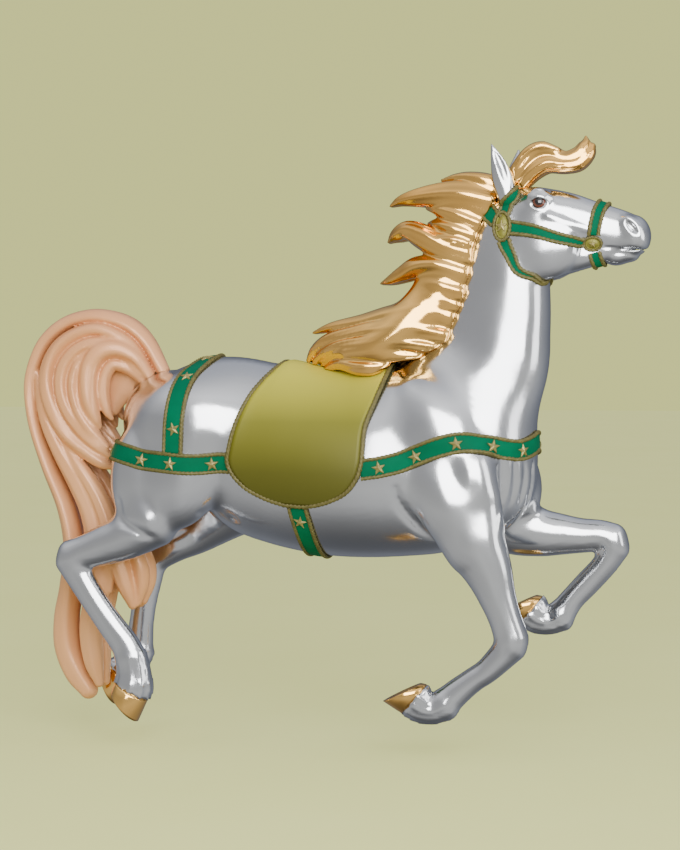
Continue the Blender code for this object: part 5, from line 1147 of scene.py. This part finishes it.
def dress_band(name, path, width, taper=EVEN_WIDTH, step=0.006, height=BAND_HEIGHT):
    """A satin band with a twisted cord along both edges, as two pieces that stand for one node."""
    places, side, normal = along_path(path, step)
    wide = width * np.interp(np.linspace(0, 1, len(places)), (0, 0.5, 1), taper)
    half = side * (wide - ROPE_WIDTH)[:, None] / 2
    crown = [(0.985 * s, height + BAND_CROWN * (1 - s**2)) for s in np.linspace(-1, 1, 9)]
    profile = [(-1, height * 0.4)] + crown + [(1, height * 0.4), (1, BAND_UNDER), (-1, BAND_UNDER)]
    rows = np.vstack([places + half * across for across, lift in profile])
    laid = raised(rows, np.repeat([lift for across, lift in profile], len(places)))
    band = bmesh.new()
    loft(band, laid.reshape(len(profile), len(places), 3).swapaxes(0, 1))
    piece(name + "_satin", band, "strap", name)
    cords = bmesh.new()
    for edge in (-1, 1):
        add_rope(cords, raised(places + half * edge, ROPE_WIDTH * 0.40), normal, ROPE_WIDTH / 2)
    piece(name + "_cords", cords, "rope", name)


for name, path, longer in (
    ("breast_strap", BREAST_PATH, 0.014), ("hip_strap", HIP_PATH, 0.014),
    ("croup_strap", CROUP_PATH, 0.008), ("girth", GIRTH_PATH, 0.010),
):
    dress_band(name, extended(path, longer), STRAP_WIDTH)

BRIDLE = [
    ("throat_latch", THROAT_PATH, LATCH_WIDTH), ("noseband", NOSE_PATH, EVEN_WIDTH),
    ("chin_strap", CHIN_PATH, EVEN_WIDTH),
]
for word, sign in (("right", 1), ("left", -1)):
    for name, path, taper in (
        ("cheek_strap_", CHEEK_PATH, CHEEK_WIDTH), ("brow_band_", BROW_PATH, EVEN_WIDTH),
        ("crown_strap_", CROWN_PATH, CROWN_WIDTH),
    ):
        BRIDLE.append((name + word, extended(path, 0.006) * (1, sign, 1), taper))
for name, path, taper in BRIDLE:
    dress_band(name, path, BRIDLE_WIDTH, taper, 0.004, BRIDLE_HEIGHT)


# Blanket and its rope

BLANKET_ROPE = 0.0060


def dress_blanket():
    piece("saddle_blanket_satin", blanket_mesh(), "blanket", "saddle_blanket")
    path = evenly(blanket_rim(BLANKET_ROPE + 0.0012, 0.003), 0.008, closed=True)[0]
    rope = bmesh.new()
    add_rope(rope, path, unit(gradient(path)), BLANKET_ROPE, closed=True)
    piece("blanket_rope", rope, "rope", "blanket_trim")


dress_blanket()

# Stars

STAR_RADIUS = 0.0175
STAR_THICK = 0.0065
STARS = {
    "breast": (BREAST_PATH, metres([
        (108, -185, 226), (191, -185, 253), (288, -175, 284), (370, -130, 278), (412, -68, 270),
        (458, 40, 275), (420, 115, 274), (340, 160, 287), (245, 180, 272), (150, 185, 236),
    ])),
    "hip": (HIP_PATH, both_ways([
        (-297, -175, 229), (-392, -185, 229), (-477, -170, 238), (-545, -110, 252),
    ])),
    "croup": (CROUP_PATH, both_ways([(-390, -180, 313), (-372, -115, 424), (-351, -40, 480)])),
    "girth": (GIRTH_PATH, both_ways([(-84, -165, 95)])),
}


def dress_star(name, place, up, outward, radius, thick):
    """A five-pointed star with a ridge down each arm and a rounded edge."""
    across = unit(np.cross(up, outward))
    up = np.cross(outward, across)
    turns = np.arange(10)[:, None] * math.pi / 5
    rim = (np.cos(turns) * up + np.sin(turns) * across) * np.tile([[radius], [radius * 0.42]], (5, 1))
    levels = ((1.0, -0.002), (1.0, thick * 0.22), (0.93, thick * 0.34))
    mesh = bmesh.new()
    top = loft(mesh, [place + rim * share + outward * height for share, height in levels])[-1]
    mesh.faces.remove(mesh.faces.get(top))
    peak = mesh.verts.new(place + outward * thick)
    for k in range(10):
        mesh.faces.new((top[k - 1], top[k], peak))
    bmesh.ops.recalc_face_normals(mesh, faces=mesh.faces)
    sharp = [edge for edge in mesh.edges if edge.calc_face_angle(0) > 0.25]
    bmesh.ops.bevel(mesh, geom=sharp, offset=radius * 0.022, segments=2, affect="EDGES", profile=0.6)
    piece(name + "_gilt", mesh, "star", name)


def strap_star(name, laid, guess):
    """A star on a strap, lifted so that its flat back clears the curved strap under it."""
    places, side, normal = laid
    i = ((places - guess) ** 2).sum(1).argmin()
    up, outward = side[i] if side[i][2] > -0.5 else -side[i], normal[i]
    place = places[i] - up * STAR_RADIUS * 0.1
    rim = oval(place, up * STAR_RADIUS, np.cross(up, outward) * STAR_RADIUS, 10)
    lift = (raised(np.vstack([rim, place]), 0.0052) - place) @ outward
    dress_star(name, place + outward * lift.max(), up, outward, STAR_RADIUS, STAR_THICK)


for strap, (path, places) in STARS.items():
    laid = along_path(path, 0.01)
    for number, guess in enumerate(places, 1):
        strap_star(f"star_{strap}_{number:02d}", laid, guess)


# Rosettes

ROSETTE_LEVELS = (
    (1.04, -0.010), (1.04, 0.0045), (1.0, 0.0062), (0.94, 0.0068), (0.88, 0.0058), (0.80, 0.0064),
    (0.6, 0.0078), (0.4, 0.0088), (0.2, 0.0094),
)
# Place, half length and half height, star radius and rim of each
ROSETTES = {
    "oval": ((0.380, -0.062, 0.789), np.array([0.024, 0.038]), 0.0160, 0.0056),
    "round": ((0.590, -0.045, 0.747), np.array([0.0235, 0.0195]), 0.0100, 0.0040),
}


def dress_rosette(kind, word, place, radii, star_radius, rim):
    """A domed disc ringed with rope, and the star on it."""
    name = f"{kind}_rosette_{word}"
    centre = settled(np.array([place]), 4)
    outward = unit(gradient(centre))[0]
    along = unit(np.array([1.0, 0, 0]) - outward * outward[0])
    up = np.cross(along, outward)
    up = up if up[2] > 0 else -up
    length, height = radii - rim * 1.6
    mesh = bmesh.new()
    loft(mesh, [
        oval(centre + outward * lift, along * length * share, up * height * share, 48)
        for share, lift in ROSETTE_LEVELS
    ])
    piece(name + "_disc", mesh, "rosette", name)
    length, height = radii - rim * 0.8
    ring = oval(centre + outward * 0.0055, along * length, up * height, 96)
    rope = bmesh.new()
    add_rope(rope, ring, np.tile(outward, (96, 1)), rim * 0.85, closed=True, step=0.0012)
    piece(name + "_ring", rope, "rope", name)
    dress_star(f"star_{kind}_{word}", centre[0] + outward * 0.0092, up, outward, star_radius, 0.0046)


# Rosettes and eyes on both sides, and the hooves

for word, sign in (("right", 1), ("left", -1)):
    for kind, (place, *sizes) in ROSETTES.items():
        dress_rosette(kind, word, np.array(place) * (1, sign, 1), *sizes)
    place = Matrix.Translation((EYE_PLACE[0], sign * EYE_PLACE[1], EYE_PLACE[2]))
    mesh = bmesh.new()
    bmesh.ops.create_uvsphere(mesh, u_segments=48, v_segments=32, radius=EYE_RADIUS, matrix=place)
    piece("eye_glass_" + word, mesh, "eye", "eye_" + word)

for leg, hoof in HOOVES.items():
    piece(f"hoof_{leg}_gilt", hoof_mesh(hoof), "gold", "hoof_" + leg)
